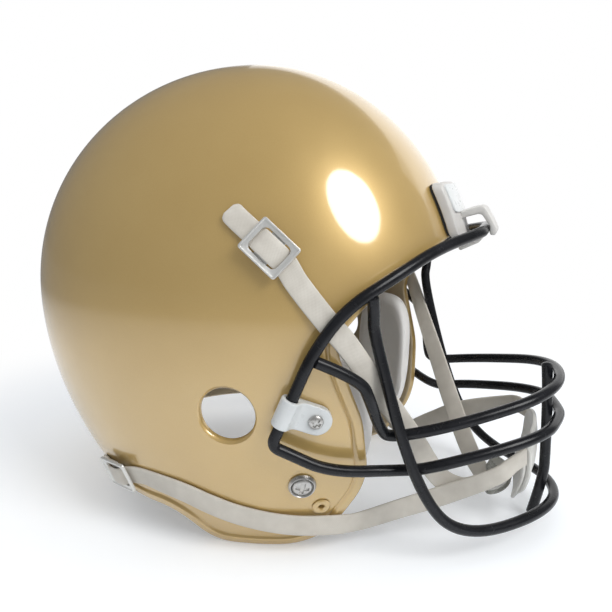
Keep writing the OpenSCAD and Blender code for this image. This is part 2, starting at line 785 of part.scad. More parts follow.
side_place = function (u, v, o) on_side(u, v, o);
front_place = function (u, v, o) [front_at(u, v, o), u, v];
back_place = function (u, v, o) [back_at(u, v, o), u, v];
top_place = function (u, v, o) [u, v, top_at(u, v, o)];
cup_place = function (u, v, o) cup_at(u, v, o);
bowl_place = function (u, v, o) bowl_at(u, v, o);

module chin_shield() {
    color(web) chin_tilt()
        patch(cup_place, [0, cup_mid], [38, cup_half_h], plate(0, cup_wall), -1, 3.4);
}

module chin_cup() {
    color(grey) chin_tilt()
        patch(bowl_place, [0, 41], [72, 33], plate(0, cup_wall), 1, 3.4);
}

module cup_bars() {
    color(web) chin_tilt() both_sides()
        through([for (z = [60, 56, 49, 42, 35, 31])
            let (rise = z == 60 || z == 31 ? 0.9 : 2.2)
            [cup_at(29.5, z, fit), cup_at(34.5, z, fit), cup_at(34.5, z, rise), cup_at(29.5, z, rise)]]);
}

// Liner
pad_top = -wall - pad_gap;

module crown_pad() {
    color(white) patch(top_place, [shell_x, 0], [0.45 * shell_front, 0.44 * shell_half_w], cushion(pad_top, pad_t), -1, 2.6);
}

module front_pad() {
    color(white) patch(front_place, [0, brow_z + 23], [0.545 * shell_half_w, 0.157 * crown_rise], cushion(pad_top, pad_t));
}

module back_pad() {
    color(white) patch(back_place, [0, ear_line - 22], [0.49 * shell_half_w, 0.315 * crown_rise], cushion(pad_top, pad_t), 1);
}

module side_pad_left() {
    color(white) patch(side_place, [shell_x - 8, ear_line + 27], [0.377 * shell_front, 0.205 * crown_rise], cushion(pad_top, pad_t), 1);
}

module side_pad_right() {
    mirror([0, 1, 0]) side_pad_left();
}

module jaw_pad_left() {
    color(white) patch(side_place, [front_x - 65.5, ear_line - 55], [22.3, 0.31 * ear_line], cushion(pad_top, jaw_pad_t), 1);
}

module jaw_pad_right() {
    mirror([0, 1, 0]) jaw_pad_left();
}

module disc(d = 12) {
    translate([0, 0, pad_top + 0.5]) cylinder(d = d, h = inner_seat - pad_top - 0.8, $fn = 16);
}

module pad_discs() {
    color(grey) {
        both_sides() {
            stand(front_x - 70, ear_line - 30) disc(11);
            stand(front_x - 72, ear_line - 74) disc(9);
            stand(shell_x + 18, ear_line + 27) disc();
            stand(shell_x - 36, ear_line + 27) disc();
            facing([front_at(34, brow_z + 23, 0), 34, brow_z + 23], front_normal(34, brow_z + 23)) disc();
            facing([back_at(28, ear_line - 22, 0), 28, ear_line - 22], back_normal(28, ear_line - 22)) disc();
            facing([shell_x, 26, top_at(shell_x, 26, 0)], top_normal(shell_x, 26)) disc();
        }
    }
}

// Nose bumper: a gasket, a pad with a hook over the brow bar, and a bare plate
gasket_low = 0.4;
bumper_low = gasket_low + gasket_t + 0.35;
bumper_mid = brow_z + 14.5;
hook_half_w = 12;

module bumper_gasket() {
    color(black)
        patch(front_place, [0, bumper_mid], [bumper_half_w, bumper_h / 2],
            [for (q = [[0.03, 1], [0.5, 1], [1, 1], [1, 0], [0.5, 0], [0.03, 0]]) [q[0], gasket_low + gasket_t * q[1]]],
            -1, 6);
}

module bumper() {
    x = nose[0];
    z = nose[2];
    color(web)
    union() {
        patch(front_place, [0, bumper_mid], [bumper_half_w - 0.8, bumper_h / 2 - 0.8],
            plate(bumper_low + bumper_t, bumper_t), -1, 6);
        rotate([90, 0, 0])
            linear_extrude(2 * hook_half_w, center = true) {
                polygon([[x - 16, z + 7.5], [x - 10, z + 7], [x - 2.5, z + 15], [x + 2, z + 14.6],
                    [x + 8.2, z + 4.5], [x + 6.8, z - 2], [x + 3.7, z - 2.2], [x + 3.7, z + 3.6],
                    [x - 0.5, z + 10], [x - 4, z + 9.6], [x - 10.5, z + 4.2], [x - 15, z + 3]]);
                polygon([[x - 13.2, z - 2], [x - 8.5, z - 3.2], [x - 5, z - 4.6], [x + 0.5, z - 3.8],
                    [x - 2, z - 7], [x - 12, z - 12], [x - 13.4, z - 11.5]]);
            }
    }
}

module bumper_plate() {
    color(white)
        patch(front_place, [0, bumper_mid + 7], [17, 8.6],
            plate(bumper_low + bumper_t + 3, 2.6), -1, 8);
}

shell();
bumper_gasket();
bumper();
bumper_plate();
outer_frame();
upper_ring();
vertical_loop();
centre_bar();
clip_right();
clip_left();
clip_screws();
clip_nuts();
cup_washers();
jaw_screws();
jaw_nuts();
jaw_grommets();
strap_studs();
buckle_upper_right();
buckle_upper_left();
buckle_lower_right();
buckle_lower_left();
strap_upper_right();
strap_upper_left();
strap_lower_right();
strap_lower_left();
chin_shield();
cup_bars();
chin_cup();
crown_pad();
front_pad();
back_pad();
side_pad_right();
side_pad_left();
jaw_pad_right();
jaw_pad_left();
pad_discs();
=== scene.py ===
"""Looks for the football helmet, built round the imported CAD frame.

The shapes follow the same formulas and the same named sizes as the CAD source, in millimetres
while they are worked out and in metres once they are meshed. +X is the face side, +Y the
wearer's left and +Z the crown.
"""

import math

import bmesh
import bpy
import numpy as np
from mathutils import Matrix


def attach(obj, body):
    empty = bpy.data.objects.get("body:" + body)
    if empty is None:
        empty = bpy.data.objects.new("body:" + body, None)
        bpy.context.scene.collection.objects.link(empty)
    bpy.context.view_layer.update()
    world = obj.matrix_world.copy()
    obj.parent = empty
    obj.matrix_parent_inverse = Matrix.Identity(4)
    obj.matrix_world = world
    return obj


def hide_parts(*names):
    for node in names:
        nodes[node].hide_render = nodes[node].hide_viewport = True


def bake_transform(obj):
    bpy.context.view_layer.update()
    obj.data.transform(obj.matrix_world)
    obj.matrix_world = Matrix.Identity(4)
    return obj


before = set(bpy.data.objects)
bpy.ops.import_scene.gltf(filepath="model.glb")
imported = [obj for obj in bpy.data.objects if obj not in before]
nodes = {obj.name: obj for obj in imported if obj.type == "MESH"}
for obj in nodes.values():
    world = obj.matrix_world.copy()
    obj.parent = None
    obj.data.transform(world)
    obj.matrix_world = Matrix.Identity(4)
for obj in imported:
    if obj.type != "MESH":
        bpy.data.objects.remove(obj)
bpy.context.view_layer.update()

MM = 0.001

# Shell
SHELL_X = -24.05
SHELL_FRONT = 138.0
SHELL_BACK = 154.0
SHELL_HALF_W = 114.0
CROWN_RISE = 146.0
EAR_LINE = 136.0
WALL = 4.0
SQUARE = 2.13
DROP_FRONT, CURL_FRONT = 192.0, 2.2
DROP_BACK, CURL_BACK = 155.5, 1.92
DROP_SIDE, CURL_SIDE = 195.0, 2.35
FRONT_X = SHELL_X + SHELL_FRONT
BACK_X = SHELL_X - SHELL_BACK
CROWN_Z = EAR_LINE + CROWN_RISE
NAPE_H = 21.0
JAW_FLAT = 50.0
JAW_X = FRONT_X - 40.0
LIP_RISE = 1.2
LIP_FADE = (EAR_LINE, EAR_LINE + 16)

# Hardware
EAR_X, EAR_Z, EAR_D = SHELL_X + 29, EAR_LINE - 46, 31.0
CLIP_X, CLIP_Z = FRONT_X - 64, EAR_LINE - 45.5
JAW_SCREW_X, JAW_SCREW_Z = FRONT_X - 72.5, EAR_LINE - 88.7
GROMMET_X, GROMMET_Z = FRONT_X - 64.5, EAR_LINE - 105
UPPER_STUD_X, UPPER_STUD_Z = FRONT_X - 86, EAR_LINE + 43
LOWER_STUD_X, LOWER_STUD_Z = SHELL_X - 50, 38.0
NUT_D = 7.0
SEAT = 0.25
SCREW_D, SCREW_HEAD_D, JAW_HEAD_D, WASHER_D = 4.8, 8.0, 10.6, 15.8
CLIP_W, CLIP_T, CLIP_LOOP, CLIP_FIT = 16.0, 4.8, 2.0, 0.35
BUCKLE_L, BUCKLE_W, FRAME_Z = 25.0, 20.5, 3.9
STUD_R = 3.0

# Cage
WIRE_D, WIRE_SIDES = 6.4, 24
CAGE_OFF = 4.6 + WIRE_D / 2
CAGE_X = FRONT_X + 59
UPPER_RING_H, LOWER_RING_H, BOTTOM_H = 98.0, 73.0, 21.0
BROW_Z = EAR_LINE + 44

# Chin strap and cup
STRAP_W, STRAP_T = 12.5, 1.8
TAIL_R = 3.4
# from the tail: where a strap's two lengths meet, and the start and end of a span along the first one
UPPER_MEET, LOWER_MEET = 60, 75
BEND_FROM, BEND_TO = 34, 56
LIFT = STRAP_T / 2 + 0.45
UPPER_SPIN, LOWER_SPIN = -47.0, -96.0
CUP_X = FRONT_X + 50
CUP_MID, CUP_ROLL = 43.0, 10.0
CUP_HALF_W, CUP_DEPTH, CUP_HALF_H, CUP_WALL = 41.0, 34.0, 26.0, 2.4
BOWL_W, BOWL_D, BOWL_H = CUP_HALF_W - 4.5, CUP_DEPTH - 3.9, 20.0
BOWL_TOP = CUP_MID - 5
CUP_BAR_LOW, CUP_BAR_HIGH = 29.0, 63.0
# in degrees round the cup: the shield's half angle, and a rib's place and half angle
SHIELD_REACH, CUP_BAR_AT, CUP_BAR_REACH = 38, 32, 2.5

# Liner and bumper
PAD_TOP = -WALL - 2.6
PAD_T, JAW_PAD_T = 20.0, 22.0
BUMPER_HALF_W, BUMPER_H, BUMPER_T = 27.0, 33.0, 5.5
GASKET_LOW, GASKET_T = 0.4, 0.8
BUMPER_LOW = GASKET_LOW + GASKET_T + 0.35
BUMPER_MID = BROW_Z + 14.5
HOOK_HALF_W, TONGUE_HALF_W = 10.5, 12.0
PLATE_UP, PLATE_HALF_W, PLATE_HALF_H, PLATE_T = 7.1, 22.5, 8.0, 1.6

# Camera of the photograph, in metres
EYE = (0.14795, -0.3818, 0.2194)
YAW, PITCH = math.radians(19.82), math.radians(12.85)

# Studio: floor in metres, strengths of the lights
FLOOR_HALF = 6.0
FLOOR_LIFT = 0.22
FLOOR_FADE, GLOSS_FADE = (0.24, 0.46), (0.3, 1.1)
AMBIENT = 0.64
ROOM = 0.25
BACKDROP_WAY, BACKDROP_EDGE = (0.15, 0.9, 0.01), (0.72, 0.81)

BOTH_SIDES = (("left", 1), ("right", -1))


# Numbers
def vec(*values):
    return np.array(values, float)


def unit(v):
    v = np.asarray(v, float)
    return v / np.maximum(np.linalg.norm(v, axis=-1, keepdims=True), 1e-12)


def mix(a, b, t):
    return a + (b - a) * t


def smooth(low, high, x):
    t = np.clip((x - low) / (high - low), 0, 1)
    return t * t * (3 - 2 * t)


def signed_power(v, p):
    return np.sign(v) * np.abs(v) ** p


def turns(count):
    """Angles at even steps round a circle."""
    return np.arange(count) * 2 * math.pi / count


def run_along(path):
    """Length run at each point of a path."""
    return np.concatenate([[0], np.cumsum(np.linalg.norm(np.diff(path[:, :3], axis=0), axis=1))])


# Shell surface
def below(drop, reach, curl):
    return (1 - np.minimum(0.98, np.maximum(drop, 0) / reach) ** curl) ** (1 / curl)


def level(z, reach, curl, o):
    z = np.asarray(z, float)
    over = np.sqrt(np.maximum(0, 1 - ((z - EAR_LINE) / (CROWN_RISE + o)) ** 2))
    return np.where(z >= EAR_LINE, over, below(EAR_LINE - z, reach, curl))


def reach_front(z, o=0.0):
    return (SHELL_FRONT + o) * level(z, DROP_FRONT, CURL_FRONT, o)


def reach_back(z, o=0.0):
    return (SHELL_BACK + o) * level(z, DROP_BACK, CURL_BACK, o)


def reach_side(z, o=0.0):
    return (SHELL_HALF_W + o) * level(z, DROP_SIDE, CURL_SIDE, o)


def plan_rest(share):
    return np.maximum(0, 1 - np.minimum(1, np.abs(share)) ** SQUARE) ** (1 / SQUARE)


def side_y(x, z, o=0.0):
    x, z = np.asarray(x, float), np.asarray(z, float)
    reach = np.where(x > SHELL_X, reach_front(z, o), reach_back(z, o))
    return reach_side(z, o) * plan_rest((x - SHELL_X) / np.maximum(reach, 1e-6))


def front_at(y, z, o=0.0):
    return SHELL_X + reach_front(z, o) * plan_rest(np.asarray(y, float) / reach_side(z, o))


def back_at(y, z, o=0.0):
    return SHELL_X - reach_back(z, o) * plan_rest(np.asarray(y, float) / reach_side(z, o))


def top_at(x, y, o=0.0):
    x, y = np.asarray(x, float), np.asarray(y, float)
    along = np.abs(x - SHELL_X) / np.where(x > SHELL_X, SHELL_FRONT + o, SHELL_BACK + o)
    across = np.abs(y) / (SHELL_HALF_W + o)
    s = (along ** SQUARE + across ** SQUARE) ** (1 / SQUARE)
    return EAR_LINE + (CROWN_RISE + o) * np.sqrt(np.maximum(0, 1 - s * s))


def on_side(x, z, o=0.0):
    return vec(x, float(side_y(x, z, o)), z)


def side_normal(x, z):
    return unit(vec(float(side_y(x - 0.5, z) - side_y(x + 0.5, z)), 1,
                    float(side_y(x, z - 0.5) - side_y(x, z + 0.5))))


HEART = vec(SHELL_X, 0, EAR_LINE)
NEAREST, FARTHEST, HALVINGS = 40.0, 260.0, 34


def is_outside(p):
    """Whether points lie outside the outer skin."""
    x, y, z = p[..., 0], p[..., 1], p[..., 2]
    rx = np.where(x > SHELL_X, reach_front(z), reach_back(z))
    s = (np.abs(x - SHELL_X) / np.maximum(rx, 1e-6)) ** SQUARE \
        + (np.abs(y) / np.maximum(reach_side(z), 1e-6)) ** SQUARE
    return (s > 1) | (z >= CROWN_Z)


def skin(p):
    """Slide points along their line from the heart of the shell onto its outer skin."""
    way = unit(p - HEART)
    low = np.full(way.shape[:-1], NEAREST)
    high = np.full(way.shape[:-1], FARTHEST)
    for _ in range(HALVINGS):
        mid = (low + high) / 2
        out = is_outside(HEART + way * mid[..., None])
        high = np.where(out, mid, high)
        low = np.where(out, low, mid)
    return HEART + way * ((low + high) / 2)[..., None]


def skin_normal(p):
    """Outward direction of the skin, from four points on it close to each point."""
    h = 0.4
    side = unit(np.cross(p - HEART, vec(0.31, 0.52, 0.79)))
    other = unit(np.cross(p - HEART, side))
    a = skin(p + side * h) - skin(p - side * h)
    b = skin(p + other * h) - skin(p - other * h)
    n = unit(np.cross(a, b))
    return n * np.sign(np.sum(n * (p - HEART), -1, keepdims=True))


# Paths and forms. A form is a pair of points and faces.
def loft(rings, caps=True, loop=False):
    """A form through rings with equally many points, with its ends closed unless it is a loop."""
    rings = np.asarray(rings, float)
    m, n = rings.shape[:2]
    faces = []
    for i in range(m if loop else m - 1):
        a, b = i * n, (i + 1) % m * n
        faces += [(a + k, b + k, b + (k + 1) % n, a + (k + 1) % n) for k in range(n)]
    if caps and not loop:
        faces.append(tuple(range(n)))
        faces.append(tuple(range(m * n - 1, (m - 1) * n - 1, -1)))
    return rings.reshape(-1, 3), faces


def joined(forms):
    """Several forms as one."""
    points, faces, start = [], [], 0
    for q, f in forms:
        points.append(q)
        faces += [tuple(start + i for i in face) for face in f]
        start += len(q)
    return np.vstack(points), faces


def heading(path, closed=False):
    """Direction of travel at each point of a path."""
    return unit(np.roll(path, -1, 0) - np.roll(path, 1, 0) if closed else np.gradient(path, axis=0))


def carried(way, side):
    """A side direction carried along a path without twist."""
    out = []
    for d in way:
        side = unit(side - d * np.dot(side, d))
        out.append(side)
    return np.array(out)


def tube_rings(path, radius, side=(0, 0, 1), closed=False):
    way = heading(path, closed)
    a = carried(way, vec(*side))
    b = np.cross(way, a)
    t = turns(WIRE_SIDES)
    r = np.broadcast_to(radius, (len(path),))
    return path[:, None] + r[:, None, None] * (
        a[:, None] * np.cos(t)[None, :, None] + b[:, None] * np.sin(t)[None, :, None])


def bent(corners, steps=14):
    """Corners rounded from the middle of one leg to the middle of the next."""
    corners = [np.asarray(c, float) for c in corners]
    out = [corners[0]]
    for i in range(1, len(corners) - 1):
        b = corners[i]
        a = corners[0] if i == 1 else (corners[i - 1] + b) / 2
        c = corners[i + 1] if i == len(corners) - 2 else (corners[i + 1] + b) / 2
        for t in np.arange(1, steps + 1) / steps:
            out.append((1 - t) ** 2 * a + 2 * t * (1 - t) * b + t * t * c)
    return np.array(out)


def spline(points, steps):
    """A smooth curve through every point (centripetal Catmull-Rom)."""
    p = np.asarray(points, float)
    p = np.vstack([2 * p[0] - p[1], p, 2 * p[-1] - p[-2]])
    spans = (((0, 1), (1, 2), (2, 3)), ((0, 2), (1, 3)), ((1, 2),))
    out = []
    for i in range(1, len(p) - 2):
        four = p[i - 1:i + 3]
        gaps = [math.sqrt(np.linalg.norm(b[:3] - a[:3])) + 1e-6 for a, b in zip(four, four[1:])]
        knots = np.cumsum([0, *gaps])
        for k in range(steps):
            t = mix(knots[1], knots[2], k / steps)
            row = four
            for pairs in spans:
                row = [mix(row[j], row[j + 1], (t - knots[a]) / (knots[b] - knots[a]))
                       for j, (a, b) in enumerate(pairs)]
            out.append(row[0])
    out.append(p[-2])
    return np.array(out)


def rounded(corners):
    """An open outline of (x, y, r) corners, each rounded to its radius."""
    steps = 24
    out = [vec(*corners[0][:2])]
    for before, here, after in zip(corners, corners[1:], corners[2:]):
        a, r = vec(*here[:2]), here[2]
        u, v = unit(vec(*before[:2]) - a), unit(vec(*after[:2]) - a)
        half = math.acos(float(np.dot(u, v))) / 2
        centre = a + unit(u + v) * r / math.sin(half)
        start = a + u * r / math.tan(half) - centre
        end = a + v * r / math.tan(half) - centre
        way = math.copysign(math.pi - 2 * half, start[0] * end[1] - start[1] * end[0])
        for t in way * np.arange(steps + 1) / steps:
            c, s = math.cos(t), math.sin(t)
            out.append(centre + vec(start[0] * c - start[1] * s, start[0] * s + start[1] * c))
    out.append(vec(*corners[-1][:2]))
    return np.array(out)


def resample(path, count=None, spacing=None):
    """A count of points, or points at a spacing, at even steps along a path."""
    length = run_along(path)
    at = np.linspace(0, length[-1], count or int(length[-1] / spacing) + 1)
    return np.stack([np.interp(at, length, path[:, k]) for k in range(path.shape[1])], 1)


def softened(rows, sigma):
    """Rows of evenly spaced numbers smoothed along their length, with both ends held."""
    reach = int(3 * sigma)
    weight = np.exp(-0.5 * (np.arange(-reach, reach + 1) / sigma) ** 2)
    weight /= weight.sum()
    long = np.vstack([2 * rows[0] - rows[reach:0:-1], rows, 2 * rows[-1] - rows[-2:-reach - 2:-1]])
    return np.stack([np.convolve(long[:, k], weight, "valid") for k in range(rows.shape[1])], 1)


def mirrored(points):
    return np.asarray(points, float) * vec(1, -1, 1)


def circle(place, a, b, radius, count):
    t = turns(count)
    return place + radius * (a * np.cos(t)[:, None] + b * np.sin(t)[:, None])


def turned(profile, sides):
    """Rings of (radius, height) pairs about a local axis."""
    return np.array([circle(vec(0, 0, h), vec(1, 0, 0), vec(0, 1, 0), r, sides) for r, h in profile])


def stand_axes(x, z, spin=0.0):
    """Place, down-skin direction, across direction and outward direction on the left side."""
    n = side_normal(x, z)
    phi, theta = math.atan2(n[1], n[0]), math.acos(n[2])
    a = vec(math.cos(theta) * math.cos(phi), math.cos(theta) * math.sin(phi), -math.sin(theta))
    b = vec(-math.sin(phi), math.cos(phi), 0)
    s = math.radians(spin)
    return on_side(x, z), a * math.cos(s) + b * math.sin(s), b * math.cos(s) - a * math.sin(s), n


def placed(rings, x, z, spin=0.0):
    """Local rings stood on the left side of the shell."""
    p, a, b, n = stand_axes(x, z, spin)
    return p + rings[..., :1] * a + rings[..., 1:2] * b + rings[..., 2:] * n


def patch(place, centre, half, profile, square=3.0, around=72):
    """A curved patch: place maps (u, v, offset) to points and the profile lists (share, offset)
    from the middle of the outer face over the edge to the middle of the inner face."""
    t = turns(around)
    u, v = signed_power(np.cos(t), 2 / square), signed_power(np.sin(t), 2 / square)
    return np.array([place(centre[0] + half[0] * s * u, centre[1] + half[1] * s * v, o) for s, o in profile])


def plate_profile(top, t, r, half):
    """Outer face, rounded edge and inner face of a plate. half turns the edge radius into a share."""
    e = r / half
    quarter = np.linspace(0, math.pi / 2, 6)
    shares = (0.004, 0.1, 0.22, 0.34, 0.46, 0.58, 0.7, 0.8, 0.9, 0.96)
    return [(s, top) for s in shares] \
        + [(1 - e + e * math.sin(a), top - r + r * math.cos(a)) for a in quarter] \
        + [(1 - e + e * math.cos(a), top - t + r - r * math.sin(a)) for a in quarter] \
        + [(s, top - t) for s in shares[::-1]]


# Pieces
def shade(piece, sharp):
    """Smooth shading, with edges sharper than the angle left crisp."""
    piece.data.shade_smooth()
    bm = bmesh.new()
    bm.from_mesh(piece.data)
    limit = math.radians(sharp)
    for e in bm.edges:
        e.smooth = not (len(e.link_faces) == 2 and e.calc_face_angle(0) > limit)
    bm.to_mesh(piece.data)
    bm.free()


def add_mesh(name, form, materials, sharp=40):
    """A mesh object from a form in millimetres."""
    points, faces = form
    data = bpy.data.meshes.new(name)
    data.from_pydata([tuple(p) for p in points * MM], [], faces)
    piece = bpy.data.objects.new(name, data)
    bpy.context.scene.collection.objects.link(piece)
    for material in materials:
        data.materials.append(material)
    bm = bmesh.new()
    bm.from_mesh(data)
    bmesh.ops.recalc_face_normals(bm, faces=bm.faces)
    bm.to_mesh(data)
    bm.free()
    shade(piece, sharp)
    return piece


def declare(piece, node, body):
    """The piece stands for a CAD node and rides on a body."""
    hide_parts(node)
    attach(piece, body)
    return piece


def add_piece(name, node, form, material, body="helmet", sharp=40):
    return declare(add_mesh(name, form, [material], sharp), node, body)


def apply_modifiers(piece):
    """Keep the shape that the modifiers give and drop the modifiers."""
    graph = bpy.context.evaluated_depsgraph_get()
    data = bpy.data.meshes.new_from_object(piece.evaluated_get(graph))
    old = piece.data
    piece.modifiers.clear()
    piece.data = data
    bpy.data.meshes.remove(old)


def cut_away(piece, form):
    """Cut a closed form out of a piece."""
    tool = add_mesh("cutter", form, [])
    cut = piece.modifiers.new("cut", "BOOLEAN")
    cut.operation = "DIFFERENCE"
    cut.solver = "MANIFOLD"
    cut.object = tool
    apply_modifiers(piece)
    bpy.data.objects.remove(tool)


# Materials
class Nodes:
    """Adds nodes to a node tree. Their inputs are given as constants or as what feeds them."""

    def __init__(self, tree):
        self.tree = tree

    def feed(self, socket, value):
        """Set a socket to a constant, or link it to a socket or to a node's first output."""
        if isinstance(value, bpy.types.Node):
            value = value.outputs[0]
        if isinstance(value, bpy.types.NodeSocket):
            self.tree.links.new(value, socket)
        else:
            socket.default_value = value

    def add(self, kind, inputs=None, **settings):
        node = self.tree.nodes.new("ShaderNode" + kind)
        for key, value in settings.items():
            setattr(node, key, value)
        for key, value in (inputs or {}).items():
            self.feed(node.inputs[key], value)
        return node

    def math(self, operation, *values):
        return self.add("Math", dict(enumerate(values)), operation=operation)

    def ramp(self, source, low, high, span, kind="LINEAR"):
        """Turn a span of the source into the range from low to high."""
        return self.add("MapRange", {"Value": source, "From Min": span[0], "From Max": span[1],
                                     "To Min": low, "To Max": high}, interpolation_type=kind)


class Look(Nodes):
    """A node material: a Principled surface with procedural colour, roughness and bumps."""

    def __init__(self, name, colour, roughness=0.5, metallic=0.0, **inputs):
        self.material = bpy.data.materials.new(name)
        self.material.use_nodes = True
        super().__init__(self.material.node_tree)
        self.surface = self.tree.nodes["Principled BSDF"]
        self.surface.inputs["Base Color"].default_value = (*colour, 1)
        self.surface.inputs["Roughness"].default_value = roughness
        self.surface.inputs["Metallic"].default_value = metallic
        for key, value in inputs.items():
            self.surface.inputs[key.replace("_", " ")].default_value = value
        self.bumps = None
        self.coords = self.add("TexCoord").outputs["Object"]

    def noise(self, scale, detail=3.0, roughness=0.5, source=None):
        return self.add("TexNoise", {"Scale": scale, "Detail": detail, "Roughness": roughness,
                                     "Vector": source or self.coords}).outputs["Fac"]

    def paint(self, source, *stops):
        """Colour the surface by a pattern. The stops are (position, colour)."""
        node = self.add("ValToRGB", {0: source})
        first, last = node.color_ramp.elements
        first.position, last.position = stops[0][0], stops[-1][0]
        first.color, last.color = (*stops[0][1], 1), (*stops[-1][1], 1)
        for position, colour in stops[1:-1]:
            node.color_ramp.elements.new(position).color = (*colour, 1)
        self.feed(self.surface.inputs["Base Color"], node)

    def mottle(self, scale, low, high, detail=4.0):
        """Colour the surface by a noise between two colours."""
        self.paint(self.noise(scale, detail), (0.3, low), (0.7, high))

    def wear(self, source, low, high):
        """Vary the roughness by a pattern."""
        self.feed(self.surface.inputs["Roughness"], self.ramp(source, low, high, (0.3, 0.7)))

    def bump(self, height, distance, strength):
        inputs = {"Distance": distance, "Strength": strength, "Height": height}
        if self.bumps:
            inputs["Normal"] = self.bumps
        self.bumps = self.add("Bump", inputs)
        self.feed(self.surface.inputs["Normal"], self.bumps)


def gold_paint():
    """Satin metallic paint under a clear coat, with fine flake and faint handling marks."""
    look = Look("gold_paint", (0.55, 0.375, 0.15), 0.36, 0.36,
                Coat_Weight=1.0, Coat_Roughness=0.08, Coat_IOR=1.9)
    flake = look.math("MULTIPLY", look.noise(2600, 2.0, 0.6), 0.35)
    cloud = look.math("MULTIPLY", look.noise(9, 4.0, 0.55), 0.65)
    look.paint(look.math("ADD", flake, cloud), (0.3, (0.53, 0.35, 0.113)),
               (0.5, (0.57, 0.384, 0.132)), (0.72, (0.61, 0.423, 0.157)))
    look.wear(look.noise(60, 5.0, 0.6), 0.34, 0.42)
    look.bump(look.noise(520, 2.0), 0.00002, 0.25)
    return look.material


def shell_lining():
    """The inside of the shell: a thin, dull overspray of the outer colour on a moulded grain."""
    look = Look("shell_inside", (0.44, 0.35, 0.22))
    look.mottle(40, (0.4, 0.32, 0.2), (0.5, 0.4, 0.26))
    look.bump(look.noise(900), 0.00008, 0.4)
    return look.material


def black_coating():
    """The thick dipped coating on the wire: glossy black with a soft orange-peel."""
    look = Look("cage_coating", (0.008, 0.0085, 0.01), 0.24, Specular_IOR_Level=0.3)
    look.mottle(90, (0.006, 0.0065, 0.008), (0.013, 0.0135, 0.016))
    look.wear(look.noise(240), 0.2, 0.29)
    look.bump(look.noise(380, 2.0), 0.00002, 0.25)
    return look.material


def steel(name, colour=(0.72, 0.72, 0.7), roughness=0.25, metallic=0.85):
    """Plated steel with fine scratches along one direction."""
    look = Look(name, colour, roughness, metallic)
    stretched = look.add("Mapping", {"Scale": (1, 1, 0.12), "Vector": look.coords})
    scratch = look.noise(700, 3.0, 0.6, stretched)
    look.mottle(160, tuple(c * 0.93 for c in colour), colour)
    look.wear(scratch, roughness - 0.05, roughness + 0.08)
    look.bump(scratch, 0.00001, 0.2)
    return look.material


def clip_plastic():
    look = Look("clip_plastic", (0.62, 0.635, 0.63), 0.3, Coat_Weight=0.3, Coat_Roughness=0.1)
    look.mottle(70, (0.58, 0.595, 0.59), (0.66, 0.675, 0.67), 3.0)
    look.wear(look.noise(300), 0.24, 0.4)
    look.bump(look.noise(800, 2.0), 0.00004, 0.25)
    return look.material


def webbing():
    """Woven strap: ribs across the strap crossed by its lengthwise threads, placed by the strap's
    own length and width, which its mesh carries in metres."""
    look = Look("strap_webbing", (0.6, 0.56, 0.5), 0.62, Sheen_Weight=0.25, Sheen_Roughness=0.4)
    place = look.add("Attribute", attribute_name="weave").outputs["Vector"]
    split = look.add("SeparateXYZ", {0: place}).outputs
    rib, thread = 0.0011, 0.0009
    ribs = look.math("SINE", look.math("MULTIPLY", split[0], 2 * math.pi / rib))
    threads = look.math("SINE", look.math("MULTIPLY", split[1], 2 * math.pi / thread))
    weave = look.math("MULTIPLY", ribs, threads)
    grime = look.math("MULTIPLY", look.noise(120, 4.0), 0.8)
    look.paint(look.math("ADD", grime, look.math("MULTIPLY", weave, 0.06)),
               (0.2, (0.545, 0.505, 0.44)), (0.6, (0.63, 0.59, 0.52)))
    look.bump(weave, 0.00012, 0.35)
    look.bump(look.noise(1500, 2.0), 0.00005, 0.3)
    return look.material


def vinyl():
    """Soft coated fabric on the pads."""
    look = Look("pad_vinyl", (0.84, 0.82, 0.79), 0.46, Sheen_Weight=0.1)
    look.mottle(35, (0.8, 0.78, 0.75), (0.87, 0.85, 0.82))
    look.wear(look.noise(200), 0.4, 0.58)
    look.bump(look.noise(900), 0.0001, 0.3)
    look.bump(look.noise(60), 0.0006, 0.35)
    return look.material


def rubber(name, low, high, roughness):
    """Moulded rubber or plastic between two colours."""
    look = Look(name, high, roughness)
    look.mottle(60, low, high)
    look.wear(look.noise(260), roughness - 0.08, roughness + 0.12)
    look.bump(look.noise(900), 0.00007, 0.35)
    return look.material


def smoky_cup():
    """Slightly see-through soft plastic."""
    look = Look("cup_vinyl", (0.42, 0.42, 0.38), 0.28, Coat_Weight=0.4, Coat_Roughness=0.12,
                Transmission_Weight=0.35, IOR=1.4)
    look.mottle(50, (0.38, 0.38, 0.345), (0.5, 0.5, 0.46))
    look.wear(look.noise(200), 0.2, 0.36)
    look.bump(look.noise(300), 0.00008, 0.3)
    return look.material


def hook_and_loop():
    look = Look("hook_disc", (0.3, 0.3, 0.29), 0.8, Sheen_Weight=0.4)
    look.mottle(500, (0.24, 0.24, 0.23), (0.36, 0.36, 0.34), 3.0)
    look.bump(look.noise(2600, 2.0), 0.0003, 0.6)
    return look.material


GOLD = gold_paint()
LINING = shell_lining()
CAGE = black_coating()
STEEL = steel("steel")
SCREWS = steel("screw_steel", (0.56, 0.55, 0.53), 0.3, 0.8)
BUCKLE = steel("buckle_steel", (0.74, 0.735, 0.71), 0.34, 0.55)
CLIP = clip_plastic()
WEB = webbing()
VINYL = vinyl()
SHIELD = rubber("shield_plastic", (0.6, 0.585, 0.54), (0.68, 0.665, 0.625), 0.36)
CUP = smoky_cup()
DISC = hook_and_loop()
GASKET = rubber("gasket_rubber", (0.015, 0.015, 0.016), (0.03, 0.03, 0.032), 0.55)
BUMPER = rubber("bumper_rubber", (0.54, 0.52, 0.49), (0.62, 0.6, 0.57), 0.42)
PLATE = rubber("plate_plastic", (0.6, 0.61, 0.6), (0.68, 0.69, 0.68), 0.32)

